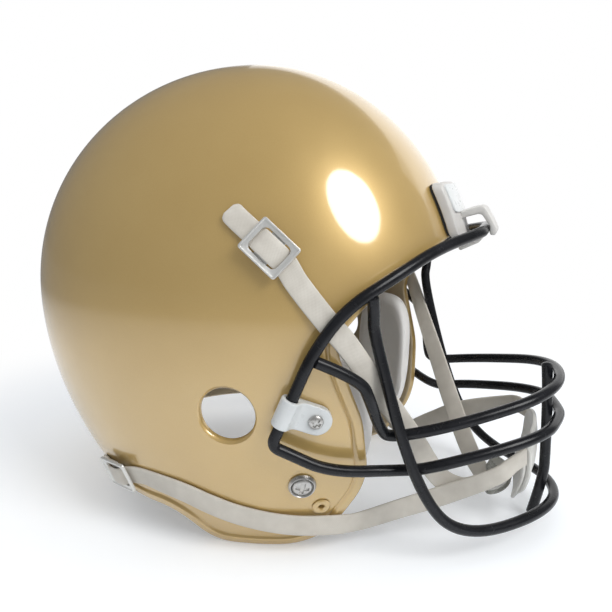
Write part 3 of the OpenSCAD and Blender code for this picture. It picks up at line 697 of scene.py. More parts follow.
# CAD nodes that stay as they are get a material
for name, material in (("clip_nuts", STEEL), ("jaw_nuts", STEEL), ("strap_studs", STEEL),
                       ("jaw_grommets", GOLD), ("pad_discs", DISC)):
    nodes[name].data.materials.clear()
    nodes[name].data.materials.append(material)


# Shell
RIM = [(BACK_X - 40, NAPE_H + 3, 0), (JAW_X - JAW_FLAT - 60, NAPE_H, 32), (JAW_X - JAW_FLAT - 39, 0, 26),
       (JAW_X - 29, 0, 38), (JAW_X, 46, 52), (JAW_X - 1.5, 86, 60), (JAW_X - 14.5, EAR_LINE - 4, 22),
       (FRONT_X - 25, EAR_LINE + 31.5, 60), (FRONT_X + 30, EAR_LINE + 69, 0)]
RIM_STEPS, RIM_POINTS = 60000, 380

# The shell's edge as (distance from the rim, offset from the skin, share of the lip): in the outer
# face's groove, over the lip and round the edge to the inner face, which starts in row INSIDE_ROW.
EDGE = [(9.2, 0, 0), (8.2, -0.02, 0), (7.5, -0.35, 0), (7.0, -0.65, 0), (6.6, -0.5, 0.1),
        (6.2, -0.15, 0.32), (5.8, 0, 0.62), (5.4, 0, 0.88), (5.0, 0, 0.98), (4.5, 0, 1), (3.4, 0, 1),
        (2.4, 0, 1), (1.6, -0.02, 1), (1.0, -0.12, 1), (0.55, -0.36, 1), (0.22, -0.75, 1),
        (0.04, -1.3, 1), (0, -2.0, 0.6), (0, -2.9, 0), (0.12, -3.4, 0), (0.45, -3.75, 0),
        (0.9, -3.93, 0), (1.6, -WALL, 0), (4, -WALL, 0), (9.2, -WALL, 0)]
GROOVE_FROM, INSIDE_ROW = 6, 18

# Rings of points follow each other from the rim to a pole on the upper back. The last one stops short
# of it, at the share RING_END of the way.
POLE = unit(vec(-0.5, 0, 0.86))
RAY, RING_END = 150, 0.985
OUTER_RINGS, INNER_RINGS = 77, 33


def rim_curve():
    """The rim on the skin as a closed loop: along the left side from the brow to the nape, then
    back along the right side."""
    line = resample(rounded(RIM)[::-1], RIM_STEPS)
    x, z = line[:, 0], line[:, 1]
    y = side_y(x, z)
    inside = np.where(y > 0)[0]
    keep = slice(inside[0], inside[-1] + 1)
    left = np.stack([x[keep], y[keep], z[keep]], 1)
    left[0, 1] = left[-1, 1] = 0
    left = resample(left, RIM_POINTS)
    return np.vstack([left, mirrored(left[-2:0:-1])])


def shell_form():
    """The shell's form, made so that the lip and the edge follow the rim exactly, and the number of
    the first point on its inside."""
    rim = rim_curve()
    count = len(rim)
    inward = unit(np.cross(skin_normal(rim), heading(rim, closed=True)))
    inward *= np.sign(np.sum(inward * (POLE * RAY + HEART - rim), 1, keepdims=True))
    # the lip fades out above the cheek, so the brow edge is plain
    lip = 1 - smooth(*LIP_FADE, rim[:, 2])
    rows = []
    for d, o, share in EDGE:
        base = skin(rim + inward * d)
        in_groove = d > GROOVE_FROM and o > -1
        out = (o * lip if in_groove else o) + LIP_RISE * share * lip
        rows.append(base + skin_normal(base) * out[:, None])
    start = unit(rows[0] - HEART)
    angle = np.arccos(np.clip(start @ POLE, -1, 1))[:, None]

    def ring_at(share, o):
        d = (np.sin((1 - share) * angle) * start + np.sin(share * angle) * POLE) / np.sin(angle)
        base = skin(HEART + unit(d) * RAY)
        return base + skin_normal(base) * o

    outer = [ring_at(s, 0.0) for s in np.linspace(0, RING_END, OUTER_RINGS + 1)[1:]]
    inner = [ring_at(s, -WALL) for s in np.linspace(0, RING_END, INNER_RINGS + 1)[1:]]
    rings = outer[::-1] + rows + inner
    points, faces = loft(rings, caps=False)
    top = skin(HEART + POLE * RAY)[None]
    points = np.vstack([points, top, top - POLE * WALL])
    a, b = len(points) - 2, len(points) - 1
    last = (len(rings) - 1) * count
    for k in range(count):
        j = (k + 1) % count
        faces.append((a, k, j))
        faces.append((b, last + j, last + k))
    return (points, faces), (len(outer) + INSIDE_ROW) * count


def hole_forms():
    """Every hole of both sides, from (radius, height) pairs along its axis."""
    over, under = 5, -12
    r = EAR_D / 2
    ear = [(r + 3.3, over), (r + 3.3, LIP_RISE + 0.6), (r + 2.7, 0.4), (r + 1.4, -0.7), (r + 0.4, -1.5),
           (r, -2.2), (r, under)]
    nut, grommet, stud = ([(r, over), (r, under)] for r in (NUT_D / 2 + 0.3, 4.0, 2.4))
    forms = []
    for profile, x, z in ((ear, EAR_X, EAR_Z), (nut, CLIP_X, CLIP_Z), (nut, JAW_SCREW_X, JAW_SCREW_Z),
                          (grommet, GROMMET_X, GROMMET_Z), (stud, UPPER_STUD_X, UPPER_STUD_Z),
                          (stud, LOWER_STUD_X, LOWER_STUD_Z)):
        rings = placed(turned(profile, 96 if profile is ear else 40), x, z)
        forms += [loft(rings), loft(mirrored(rings))]
    return joined(forms)


def make_shell():
    form, inside_from = shell_form()
    shell = add_mesh("shell_body", form, [GOLD, LINING])
    for face in shell.data.polygons:
        if min(face.vertices) >= inside_from:
            face.material_index = 1
    cut_away(shell, hole_forms())
    shade(shell, 32)
    declare(shell, "shell", "helmet")


make_shell()


# Face cage
FOOT = on_side(FRONT_X - 82.9, EAR_LINE - 58.7, CAGE_OFF)
SHOULDER = on_side(FRONT_X - 62, EAR_LINE - 8, CAGE_OFF)
TEMPLE = on_side(FRONT_X - 47.5, EAR_LINE + 14.5, CAGE_OFF)
ARCH = on_side(FRONT_X - 26, EAR_LINE + 29.5, CAGE_OFF)
BROW = on_side(FRONT_X - 10, EAR_LINE + 40.5, CAGE_OFF)
LOOP_JOIN = (TEMPLE + ARCH) / 2
RING_JOIN = (4 * mix(FOOT, SHOULDER, 0.81) + 4 * SHOULDER + (SHOULDER + TEMPLE) / 2) / 9
NOSE = vec(FRONT_X + 10, 0, EAR_LINE + 47)
BUTT = WIRE_D / 2
CHEEK = vec(FRONT_X - 54.6, 98.4, LOWER_RING_H - 11.7)
CORNER_LEG = 9.6
RING_BEND = vec(FRONT_X - 40, 93.1, UPPER_RING_H + 15)
LOOP_DIR = unit(vec(0.1, -0.25, -1))
INSIDE = CAGE_X - WIRE_D - 0.2
DOME = (0.02, 0.35, 0.62, 0.82, 0.94)


def wire(name, node, corners):
    """A coated wire with domed ends."""
    path = bent(corners)
    way = heading(path)
    r = WIRE_D / 2
    rise = [math.sqrt(1 - s * s) * r / 2 for s in DOME]
    tips = [rise[i] - rise[-1] + 0.01 * (5 - i) for i in range(5)]
    radii = r * np.array([*DOME, *[1] * len(path), *DOME[::-1]])
    start = [path[0] - way[0] * t for t in tips]
    end = [path[-1] + way[-1] * t for t in tips[::-1]]
    rings = tube_rings(np.vstack([start, path, end]), radii, side=(0.1, 0, 1))
    add_piece(name, node, loft(rings), CAGE, sharp=60)


def both_halves(half):
    half = [np.asarray(p, float) for p in half]
    return half + [mirrored(p) for p in half[::-1]]


def outer_frame():
    """The frame's wire, closed on itself."""
    half = [NOSE + vec(0, 12, 0), NOSE + vec(0, 21, 0), BROW, ARCH, TEMPLE, SHOULDER,
            mix(FOOT, SHOULDER, 0.6), FOOT + CORNER_LEG * unit(SHOULDER - FOOT), FOOT,
            FOOT + CORNER_LEG * unit(CHEEK - FOOT), CHEEK,
            vec(FRONT_X - 23.5, 70.6, LOWER_RING_H - 18.8), vec(FRONT_X - 6.3, 72.5, LOWER_RING_H - 14.1),
            vec(CAGE_X - 7.4, 41.7, LOWER_RING_H - 0.4), vec(CAGE_X + 1.8, 7, LOWER_RING_H - 0.3),
            vec(CAGE_X + 1.8, 0, LOWER_RING_H - 0.3)]
    left = bent([NOSE] + half, 12)
    loop = np.vstack([left, mirrored(left[-2:0:-1])])
    rings = turned_back(loop, tube_rings(loop, WIRE_D / 2, closed=True))
    add_piece("cage_outer_frame", "outer_frame", loft(rings, loop=True), CAGE, sharp=60)


def turned_back(path, rings):
    """The carried side has turned a little when the loop meets itself. The rings take up that turn
    evenly, so the last one meets the first."""
    first, last = rings[0].mean(0), rings[-1].mean(0)
    way = unit(first - last)
    a0, a1 = unit(rings[0][0] - first), unit(rings[-1][0] - last)
    a0, a1 = unit(a0 - way * np.dot(a0, way)), unit(a1 - way * np.dot(a1, way))
    angle = math.atan2(float(np.dot(np.cross(a1, a0), way)), float(np.dot(a1, a0)))
    out = []
    for i, (p, d, ring) in enumerate(zip(path, heading(path, closed=True), rings)):
        t = angle * i / len(path)
        c, s = math.cos(t), math.sin(t)
        v = ring - p
        out.append(p + v * c + np.cross(d, v) * s + d * (v @ d)[:, None] * (1 - c))
    return np.array(out)


outer_frame()
wire("cage_upper_ring", "upper_ring", both_halves([
    RING_JOIN + BUTT * unit(RING_BEND - RING_JOIN),
    RING_BEND,
    (FRONT_X - 35.5, 90.7, UPPER_RING_H + 2.8),
    (FRONT_X - 32.5, 79.9, UPPER_RING_H - 16.3),
    (FRONT_X - 28.3, 74.5, UPPER_RING_H - 23.6),
    (FRONT_X + 7.6, 64, UPPER_RING_H - 14.9),
    (CAGE_X - 0.2, 31.3, UPPER_RING_H - 1.1)]))
wire("cage_vertical_loop", "vertical_loop", both_halves([
    LOOP_JOIN + BUTT * LOOP_DIR,
    LOOP_JOIN + 10 * LOOP_DIR,
    (FRONT_X - 37.4, 80.8, UPPER_RING_H + 36.5),
    (FRONT_X - 11.9, 79.7, LOWER_RING_H - 24.4),
    (FRONT_X + 13, 68.4, BOTTOM_H - 4),
    (CAGE_X + 3, 21.8, BOTTOM_H - 1.4)]))
wire("cage_centre_bar", "centre_bar", [
    vec(INSIDE - 1, 0, UPPER_RING_H + 5), vec(INSIDE + 0.4, 0, UPPER_RING_H - 8),
    vec(INSIDE + 1.5, 0, LOWER_RING_H), vec(INSIDE + 2.6, 0, LOWER_RING_H - 26),
    vec(INSIDE + 3, 0, BOTTOM_H + 8), vec(INSIDE - 2.4, 0, BOTTOM_H - 17.5)])


# Screws and washers
def in_pairs(name, node, rings, closed=False):
    """The same piece on both sides of the shell, in one object."""
    forms = [loft(rings, loop=closed), loft(mirrored(rings), loop=closed)]
    add_piece(name, node, joined(forms), SCREWS, sharp=34)


def screw_rings(head_r, low, crown, cross):
    """Shank, round head and a cross recess pressed into its crown."""
    r, sides, sunk = SCREW_D / 2, 144, 0.95
    base = turned([(0.02, -WALL - 0.3), (r, -WALL - 0.3), (r, low), (head_r - 0.15, low),
                   (head_r, low + 0.2)], sides)
    rings = []
    for share in np.linspace(1, 0.004, 54):
        x, y = head_r * share * np.cos(turns(sides)), head_r * share * np.sin(turns(sides))
        h = low + 0.45 + crown * np.sqrt(np.maximum(0, 1 - (share * 0.985) ** 2))
        recess = 1 - smooth(0.24 * head_r, 0.34 * head_r, np.hypot(x, y))
        for a, b in ((x, y), (y, x)):
            reach = 1 - smooth(cross - 0.18, cross + 0.1, np.abs(a))
            width = 1 - smooth(0.17 * head_r, 0.23 * head_r, np.abs(b))
            recess = np.maximum(recess, reach * width)
        rings.append(np.stack([x, y, h - sunk * recess], -1))
    return np.concatenate([base, np.array(rings)])


def washer_rings():
    """A dished washer: thin outer edge, a raised rim and a bowl that the screw head sits in."""
    r, bore = WASHER_D / 2, SCREW_D / 2 + 0.3
    profile = [(bore, 0), (r - 0.2, 0), (r, 0.2), (r, 0.5), (r - 0.3, 1.1), (r - 0.7, 1.9),
               (r - 1.0, 2.2), (r - 1.3, 2.2), (r - 1.55, 1.9), (r - 1.75, 1.3), (r - 2.0, 0.85),
               (r - 2.3, 0.65), (bore, 0.65)]
    return turned([(a, SEAT + h) for a, h in profile], 96)


in_pairs("cup_washer_pair", "cup_washers", placed(washer_rings(), JAW_SCREW_X, JAW_SCREW_Z), True)
in_pairs("jaw_screw_pair", "jaw_screws",
         placed(screw_rings(JAW_HEAD_D / 2, SEAT + 0.9, 1.6, 3.7), JAW_SCREW_X, JAW_SCREW_Z, 12))
in_pairs("clip_screw_pair", "clip_screws",
         placed(screw_rings(SCREW_HEAD_D / 2, SEAT + CLIP_T + 0.2, 1.8, 2.5), CLIP_X, CLIP_Z, 33))


# Clips
def clip_piece(label, flip):
    """A folded band round the brow bar whose two ends lie under the screw."""
    seat_at = on_side(CLIP_X, CLIP_Z)
    n = side_normal(CLIP_X, CLIP_Z)
    bar = unit(SHOULDER - FOOT)
    w = unit(bar - n * np.dot(bar, n))
    across = np.cross(n, w)
    share = float(np.dot(seat_at - FOOT, bar) / np.linalg.norm(SHOULDER - FOOT))
    from_seat = mix(FOOT, SHOULDER, share) - seat_at
    bar_p, bar_n = float(np.dot(from_seat, across)), float(np.dot(from_seat, n))

    def place(q):
        q = np.asarray(q, float)
        return (seat_at + q[..., :1] * across + q[..., 1:2] * w + q[..., 2:] * n) * vec(1, flip, 1)

    half, tip, foot, round_r = CLIP_W / 2, 1.0, bar_p + 9.0, 0.9
    rings = []
    for v in half * np.sin(np.linspace(-math.pi / 2, math.pi / 2, 33)):
        edge = 0.55 * (1 - math.sqrt(max(0, 1 - max(0, (abs(v) - half + round_r) / round_r) ** 2)))
        end = tip + math.sqrt(max(0, half ** 2 - v * v)) - edge - 1
        r = WIRE_D / 2 + CLIP_FIT + CLIP_LOOP - edge
        low, top = SEAT + edge, SEAT + CLIP_T - edge
        arc = [vec(bar_p + r * math.cos(a), bar_n + r * math.sin(a))
               for a in np.linspace(math.radians(62), math.radians(262), 30)]
        toe = vec(bar_p + 3.5, low)
        lower = [mix(arc[-1], toe, t) for t in (0.35, 0.7, 1)]
        plate = [mix(toe, vec(end, low), t) for t in (0.3, 0.6, 1)]
        nose = [vec(end + math.sin(a), low + 1 - math.cos(a)) for a in (0.5, 1.1, math.pi / 2)]
        crown = [vec(end + math.cos(a), top - 1 + math.sin(a)) for a in (0, 0.5, 1.1, math.pi / 2)]
        back = [vec(mix(end, min(end, foot), t), top) for t in (0.4, 0.8)]
        ramp = [vec(foot, top) * (1 - t) ** 2 + 2 * t * (1 - t) * vec(foot - 3, top) + t * t * arc[0]
                for t in (0, 0.2, 0.4, 0.6, 0.8)]
        rings.append(place([(a, v, b) for a, b in arc + lower + plate + nose + crown + back + ramp]))
    piece = add_mesh(f"clip_band_{label}", loft(rings), [CLIP])
    x, y, z = np.eye(3)
    bore = [circle(vec(bar_p, v, bar_n), x, z, WIRE_D / 2 + CLIP_FIT, 48) for v in (-half - 3, half + 3)]
    hole = [circle(vec(0, 0, h), x, y, SCREW_D / 2 + 0.3, 48) for h in (-3, 12)]
    cut_away(piece, loft(place(bore)))
    cut_away(piece, loft(place(hole)))
    shade(piece, 40)
    declare(piece, f"clip_{label}", "helmet")


for label, flip in BOTH_SIDES:
    clip_piece(label, flip)


# Buckles
def soft_rectangle(l, w, r, h):
    """A level outline of a rectangle with rounded corners, given by its half sizes."""
    out = []
    for k, (sx, sy) in enumerate(((1, 1), (-1, 1), (-1, -1), (1, -1))):
        for a in np.linspace(k * math.pi / 2, (k + 1) * math.pi / 2, 9):
            out.append((sx * (l - r) + r * math.cos(a), sy * (w - r) + r * math.sin(a), h))
    return out


def buckle_parts():
    """A pressed frame with a raised rim and a sunk face round its window, the cross plate under
    the strap and the ring that snaps over the stud. Each is (rings, closed)."""
    l, w = BUCKLE_L / 2, BUCKLE_W / 2
    wl, ww = l - 3.25, STRAP_W / 2 + 0.8
    # half length, half width, corner radius, height over the frame's underside
    frame_rows = [(l - 0.2, w - 0.2, 1.3, 0), (l, w, 1.4, 0.25), (l, w, 1.4, 1.6),
                  (l - 0.12, w - 0.12, 1.35, 1.87), (l - 0.4, w - 0.4, 1.2, 2), (l - 0.75, w - 0.75, 1.1, 2),
                  (l - 1, w - 1, 1.0, 1.85), (l - 1.15, w - 1.15, 1.0, 1.5), (l - 1.5, w - 1.4, 1.1, 1.38),
                  (wl + 0.7, ww + 0.7, 2.6, 1.3), (wl + 0.2, ww + 0.2, 2.8, 1.1), (wl, ww, 2.8, 0.7),
                  (wl, ww, 2.8, 0.25), (wl + 0.25, ww + 0.25, 2.7, 0)]
    plate_rows = [(0.2, 0.2, 0.1, -1), (4.1, w - 1.1, 0.8, -1), (4.4, w - 0.8, 1, -0.7),
                  (4.4, w - 0.8, 1, -0.05), (4.1, w - 1.1, 0.8, 0.2), (0.2, 0.2, 0.1, 0.2)]
    band, plate = (np.array([soft_rectangle(a, b, r, FRAME_Z + h) for a, b, r, h in rows])
                   for rows in (frame_rows, plate_rows))
    inner, outer, low, high = STUD_R + 0.3, STUD_R + 1.4, SEAT + 0.9, FRAME_Z - 0.6
    ring = turned([(inner, low), (outer - 0.3, low), (outer, low + 0.3), (outer, high - 0.3),
                   (outer - 0.3, high), (inner, high)], 64)
    return [(band, True), (plate, False), (ring, True)]


def buckle(key, x, z, spin, flip):
    forms = [loft(placed(rings, x, z, spin) * vec(1, flip, 1), loop=closed)
             for rings, closed in buckle_parts()]
    add_piece(f"{key}_frame", f"buckle_{key}", joined(forms), BUCKLE, f"{key}_snap", 38)


for label, flip in BOTH_SIDES:
    buckle(f"upper_{label}", UPPER_STUD_X, UPPER_STUD_Z, UPPER_SPIN, flip)
    buckle(f"lower_{label}", LOWER_STUD_X, LOWER_STUD_Z, LOWER_SPIN, flip)


# Straps. A station is a place on the strap's middle, the way its face looks and its share of the width.
def rolled(p, way=1):
    """Points rolled with the chin cup. way is -1 for points that are mirrored later."""
    s, c = way * math.sin(math.radians(CUP_ROLL)), math.cos(math.radians(CUP_ROLL))
    p = np.asarray(p, float)
    z = p[..., 2] - CUP_MID
    return np.stack([p[..., 0], p[..., 1] * c - z * s, CUP_MID + p[..., 1] * s + z * c], -1)


def cup_at(a, z, o):
    """A point on the cup's shield: angle round it, height and offset."""
    a, z = np.radians(np.asarray(a, float)), np.asarray(z, float)
    fullest = 48
    bow = np.where(z < fullest, 0.0107, 0.004) * (z - fullest) ** 2
    return np.stack([CUP_X - CUP_DEPTH + (CUP_DEPTH + o) * np.cos(a) - bow,
                     (CUP_HALF_W + o) * np.sin(a) + 0 * z, z + 0 * a], -1)


def on_cup(a, z, o, way):
    p = rolled(cup_at(a, z, o), way)
    return [p, unit(rolled(cup_at(a, z, o + 2), way) - p), 1]


def along_skin(x, z, o):
    return [on_side(x, z, o), side_normal(x, z), 1]


def through_buckle(x, z, spin):
    """Under one end of the buckle's frame, over the plate in its window and under the other end."""
    p, d, _, n = stand_axes(x, z, spin)
    return [[p + d * run + n * rise, n, 1] for run, rise in
            ((-10.5, 1.6), (-8.2, 2.4), (-5.4, 5.7), (0, 6.1), (5.4, 5.7), (8.2, 2.4), (10.5, 1.6))]


def upright(x, z, o, share):
    """A strap that stands off the curve of the jaw and hangs from its top edge."""
    top = z + share * STRAP_W / 2
    n = side_normal(x, top)
    return [vec(x, float(side_y(x, top, o)), z), unit(vec(n[0], n[1], n[2] * (1 - share))), 1]


UPPER_EXIT = on_side(FRONT_X - 50, EAR_LINE - 2, LIFT + LIP_RISE + 0.4)
EXIT_FACE = unit(side_normal(FRONT_X - 50, EAR_LINE - 2) + vec(0.1, 0, 0))
LOWER_EXIT = vec(JAW_X - 7, float(side_y(JAW_X - 7, 15.6 + STRAP_W / 2, LIFT + LIP_RISE)), 15.6)


def upper_stations(free):
    """From the tail through the buckle and down the skin, then through the given free stations."""
    first, face = free[0][:2]
    tail, down = ([along_skin(FRONT_X - back, EAR_LINE + up, LIFT + o) for back, up, o in rows] for rows in (
        ((108, 62.3, 0), (104, 58.6, 0)),
        ((73.3, 28.7, 0), (67.5, 20.6, 0), (61.4, 12.6, 0.5), (55.3, 4.6, LIP_RISE))))
    across = [[mix(UPPER_EXIT, vec(*first), s), unit(mix(EXIT_FACE, unit(vec(*face)), s)), 1]
              for s in (0.33, 0.67)]
    ends = [[vec(*p), unit(vec(*n)), w] for p, n, w in free]
    return tail + through_buckle(UPPER_STUD_X, UPPER_STUD_Z, UPPER_SPIN) \
        + down + [[UPPER_EXIT, EXIT_FACE, 1]] + across + ends


def lower_stations(way):
    """From the tail through the buckle, along the jaw and round the front of the cup."""
    hang = rolled(vec(FRONT_X - 2, 49, 38.5), way)
    tail = [along_skin(LOWER_STUD_X - 19, 36.2, LIFT), along_skin(LOWER_STUD_X - 14.5, 36.5, LIFT)]
    jaw = [upright(x, z, LIFT + o, share) for x, z, o, share in (
        (SHELL_X - 18, 39.6, 0, 0.4), (SHELL_X - 1, 37, 0, 0.8), (SHELL_X + 14, 32, 0, 1),
        (SHELL_X + 28, 27.2, 0, 1), (SHELL_X + 44.5, 22.8, 0, 1), (SHELL_X + 61, 20.2, LIP_RISE, 1),
        (JAW_X - 24, 18.6, LIP_RISE + 0.3, 1), (JAW_X - 15, 17, LIP_RISE + 0.3, 1))]
    return tail + through_buckle(LOWER_STUD_X, LOWER_STUD_Z, LOWER_SPIN) \
        + [along_skin(LOWER_STUD_X + 16, 39.9, LIFT)] + jaw + [
        [LOWER_EXIT, unit(vec(0.46, 0.88, -0.05)), 1],
        [mix(LOWER_EXIT, hang, 0.5), unit(vec(0.5, 0.86, 0.05)), 1],
        [hang, unit(vec(0.45, 0.89, 0.12)), 1],
        on_cup(67, 53.5, 2.2, way), on_cup(54, 57.5, 1.4, way), on_cup(38.5, 59, 1.4, way)]


def strap_rings(stations, flip):
    """Cross-sections of a strap through its stations, the place of their points along and across it
    in metres, and the length run at each."""
    table = np.array([[*p, *n, w] for p, n, w in stations])
    fine = softened(resample(spline(table, 8), spacing=1.0), 1.5)
    path, face, width = fine[:, :3], unit(fine[:, 3:6]), fine[:, 6]
    way = heading(path)
    side = unit(np.cross(way, face))
    n = np.cross(side, way)
    t = STRAP_T / 2
    run = run_along(path)
    rings, marks = [], []
    for i, p in enumerate(path):
        rounding = TAIL_R - math.sqrt(TAIL_R ** 2 - max(0, TAIL_R - 0.12 - run[i]) ** 2)
        w = STRAP_W / 2 * width[i] - rounding
        c = min(0.9, w / 3)
        face_half = [(t, (w - c) * s) for s in (-1, -0.5, 0, 0.5, 1)]
        edge = [(t * up, w - c * cut) for up, cut in ((0.8, 0.45), (0.35, 0.08), (-0.35, 0.08), (-0.8, 0.45))]
        outline = face_half + edge + [(-t, w - c), (-t, 0), (-t, c - w)] + [(a, -b) for a, b in edge[::-1]]
        rings.append([p + n[i] * a + side[i] * b for a, b in outline])
        marks.append([(run[i] * MM, b * MM, 0) for _, b in outline])
    return np.array(rings) * vec(1, flip, 1), np.array(marks), run


def strap(key, stations, flip):
    """Two lengths of webbing that meet on the shell: the first from the tail through the buckle, the second
    on to the chin cup."""
    rings, marks, run = strap_rings(stations, flip)
    centres = rings.mean(1)

    def row_at(length):
        return int(np.argmin(np.abs(run - length)))

    upper = "upper" in key
    exit_at = (UPPER_EXIT if upper else LOWER_EXIT) * vec(1, flip, 1)
    leaves = int(np.argmin(np.linalg.norm(centres - exit_at, axis=1)))
    cut = row_at(UPPER_MEET if upper else LOWER_MEET)
    on_chin = len(rings) - 8
    for part, rows, bodies, a, b in (
            ("buckle_end", slice(0, cut + 1), (f"{key}_snap", "helmet"), row_at(BEND_FROM), row_at(BEND_TO)),
            ("chin_end", slice(cut, None), ("helmet", "chin"), leaves, on_chin)):
        piece = add_mesh(f"strap_{key}_web_{part}", loft(rings[rows]), [WEB], 50)
        attribute = piece.data.attributes.new("weave", "FLOAT_VECTOR", "POINT")
        attribute.data.foreach_set("vector", marks[rows].reshape(-1))
        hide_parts(f"strap_{key}")
        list(bodies)
        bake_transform(piece)


strap("upper_left", upper_stations([
    [(FRONT_X - 7, 41, 54), (0.14, 0.9, -0.3), 1],
    [(FRONT_X + 9, 22.5, 27), (0.18, 0.88, -0.3), 1],
    [(FRONT_X + 20, 13.5, 14.5), (0.25, 0.85, -0.25), 1]]), 1)
strap("upper_right", upper_stations([
    [(FRONT_X - 2, 42.5, 38), (0.6, 0.78, 0.2), 1],
    [(FRONT_X + 9, 38.5, 33), (0.45, 0.88, 0.1), 1],
    [(FRONT_X + 18, 35, 35.5), (0.42, 0.9, 0.05), 0.9]]), -1)
strap("lower_left", lower_stations(1), 1)
strap("lower_right", lower_stations(-1), -1)


# Chin shield, ribs and cup
def bowl_at(a, e, o):
    """A point on the inner cup: angle round it, angle down it and offset."""
    a, e = np.radians(a), np.radians(e)
    return np.stack([CUP_X - CUP_DEPTH + (BOWL_D + o) * np.cos(a) * np.cos(e),
                     (BOWL_W + o) * np.sin(a) * np.cos(e), BOWL_TOP - (BOWL_H + o) * np.sin(e)], -1)


def cup_bar_rings(side):
    """A rib up the shield, half round and run out at both ends."""
    rings = []
    t = turns(20)
    for z in np.linspace(CUP_BAR_HIGH, CUP_BAR_LOW, 30):
        end = min(1, (CUP_BAR_HIGH - z) / 4, (z - CUP_BAR_LOW) / 4)
        rise = 0.35 + 1.9 * math.sin(max(0.02, end) * math.pi / 2)
        a = side * (CUP_BAR_AT + CUP_BAR_REACH * signed_power(np.cos(t), 0.7))
        o = 0.3 + rise * signed_power(np.maximum(0, np.sin(t)), 0.7)
        rings.append(cup_at(a, z, o))
    return rings


def chin_piece(name, node, rings, material):
    add_piece(name, node, loft(rolled(rings)), material, "chin", 50)


chin_piece("chin_shield_plate", "chin_shield",
           patch(cup_at, (0, CUP_MID), (SHIELD_REACH, CUP_HALF_H), plate_profile(0, CUP_WALL, 0.9, 26), 2.8),
           SHIELD)
chin_piece("chin_cup_bowl", "chin_cup",
           patch(bowl_at, (0, 62), (68, 16), plate_profile(0, CUP_WALL, 0.9, 30), 3.4), CUP)
for label, side in BOTH_SIDES:
    chin_piece(f"cup_bar_{label}", "cup_bars", cup_bar_rings(side), SHIELD)


# Liner pads. Each place maps (u, v, offset) onto one side of the shell.
def top_place(u, v, o):
    return np.stack([u, v, top_at(u, v, o)], -1)


def front_place(u, v, o):
    return np.stack([front_at(u, v, o), u, v], -1)


def back_place(u, v, o):
    return np.stack([back_at(u, v, o), u, v], -1)


def side_place(u, v, o):
    return np.stack([u, side_y(u, v, o), v], -1)


def cushion_profile(top, t):
    """A stuffed pad: crowned faces, a pulled-in edge with a welt half way."""
    low = top - t
    return [(0.004, top), (0.15, top), (0.3, top - 0.05), (0.45, top - 0.15), (0.6, top - 0.35),
            (0.74, top - 0.8), (0.85, top - 1.7), (0.93, top - 3.4), (0.975, top - t * 0.3),
            (0.985, top - t * 0.4), (1.0, top - t * 0.46), (1.008, top - t * 0.5), (1.0, top - t * 0.54),
            (0.985, top - t * 0.6), (0.975, top - t * 0.72), (0.94, low + 3.2), (0.86, low + 1.5),
            (0.74, low + 0.5), (0.6, low + 0.05), (0.45, low - 0.2), (0.3, low - 0.45),
            (0.15, low - 0.58), (0.004, low - 0.6)]


def pad(name, node, place, centre, half, t=PAD_T, square=3.0, flip=1):
    rings = patch(place, centre, half, cushion_profile(PAD_TOP, t), square) * vec(1, flip, 1)
    piece = add_piece(name, node, loft(rings), VINYL, sharp=70)


pad("crown_cushion", "crown_pad", top_place, (SHELL_X, 0), (0.45 * SHELL_FRONT, 0.44 * SHELL_HALF_W),
    square=2.6)
pad("front_cushion", "front_pad", front_place, (0, BROW_Z + 23), (0.545 * SHELL_HALF_W, 0.157 * CROWN_RISE))
pad("back_cushion", "back_pad", back_place, (0, EAR_LINE - 22), (0.49 * SHELL_HALF_W, 0.315 * CROWN_RISE))
for label, flip in BOTH_SIDES:
    pad(f"side_cushion_{label}", f"side_pad_{label}", side_place, (SHELL_X - 8, EAR_LINE + 27),
        (0.377 * SHELL_FRONT, 0.205 * CROWN_RISE), flip=flip)
    pad(f"jaw_cushion_{label}", f"jaw_pad_{label}", side_place, (FRONT_X - 65.5, EAR_LINE - 55),
        (22.3, 0.31 * EAR_LINE), JAW_PAD_T, flip=flip)


# Nose bumper
def front_patch(height, half, profile, square):
    """A patch on the front of the shell at a height over the bumper's middle."""
    return loft(patch(front_place, (0, BUMPER_MID + height), half, profile, square, 96))


def slab(outline, half_w):
    """A flat outline in x, z drawn out to both sides."""
    n = len(outline)
    points = [(x, -half_w, z) for x, z in outline] + [(x, half_w, z) for x, z in outline]
    faces = [tuple(range(n)), tuple(range(2 * n - 1, n - 1, -1))]
    faces += [(k, k + n, (k + 1) % n + n, (k + 1) % n) for k in range(n)]
    return np.array(points), faces


def bumper_slab(name, outline, half_w):
    """A slab of the bumper at the brow bar, with rounded edges."""
    piece = add_mesh(name, slab([(NOSE[0] + x, NOSE[2] + z) for x, z in outline], half_w), [BUMPER])
    edge = piece.modifiers.new("round", "BEVEL")
    edge.width = 0.0012
    edge.segments = 3
    apply_modifiers(piece)
    shade(piece, 40)
    declare(piece, "bumper", "helmet")


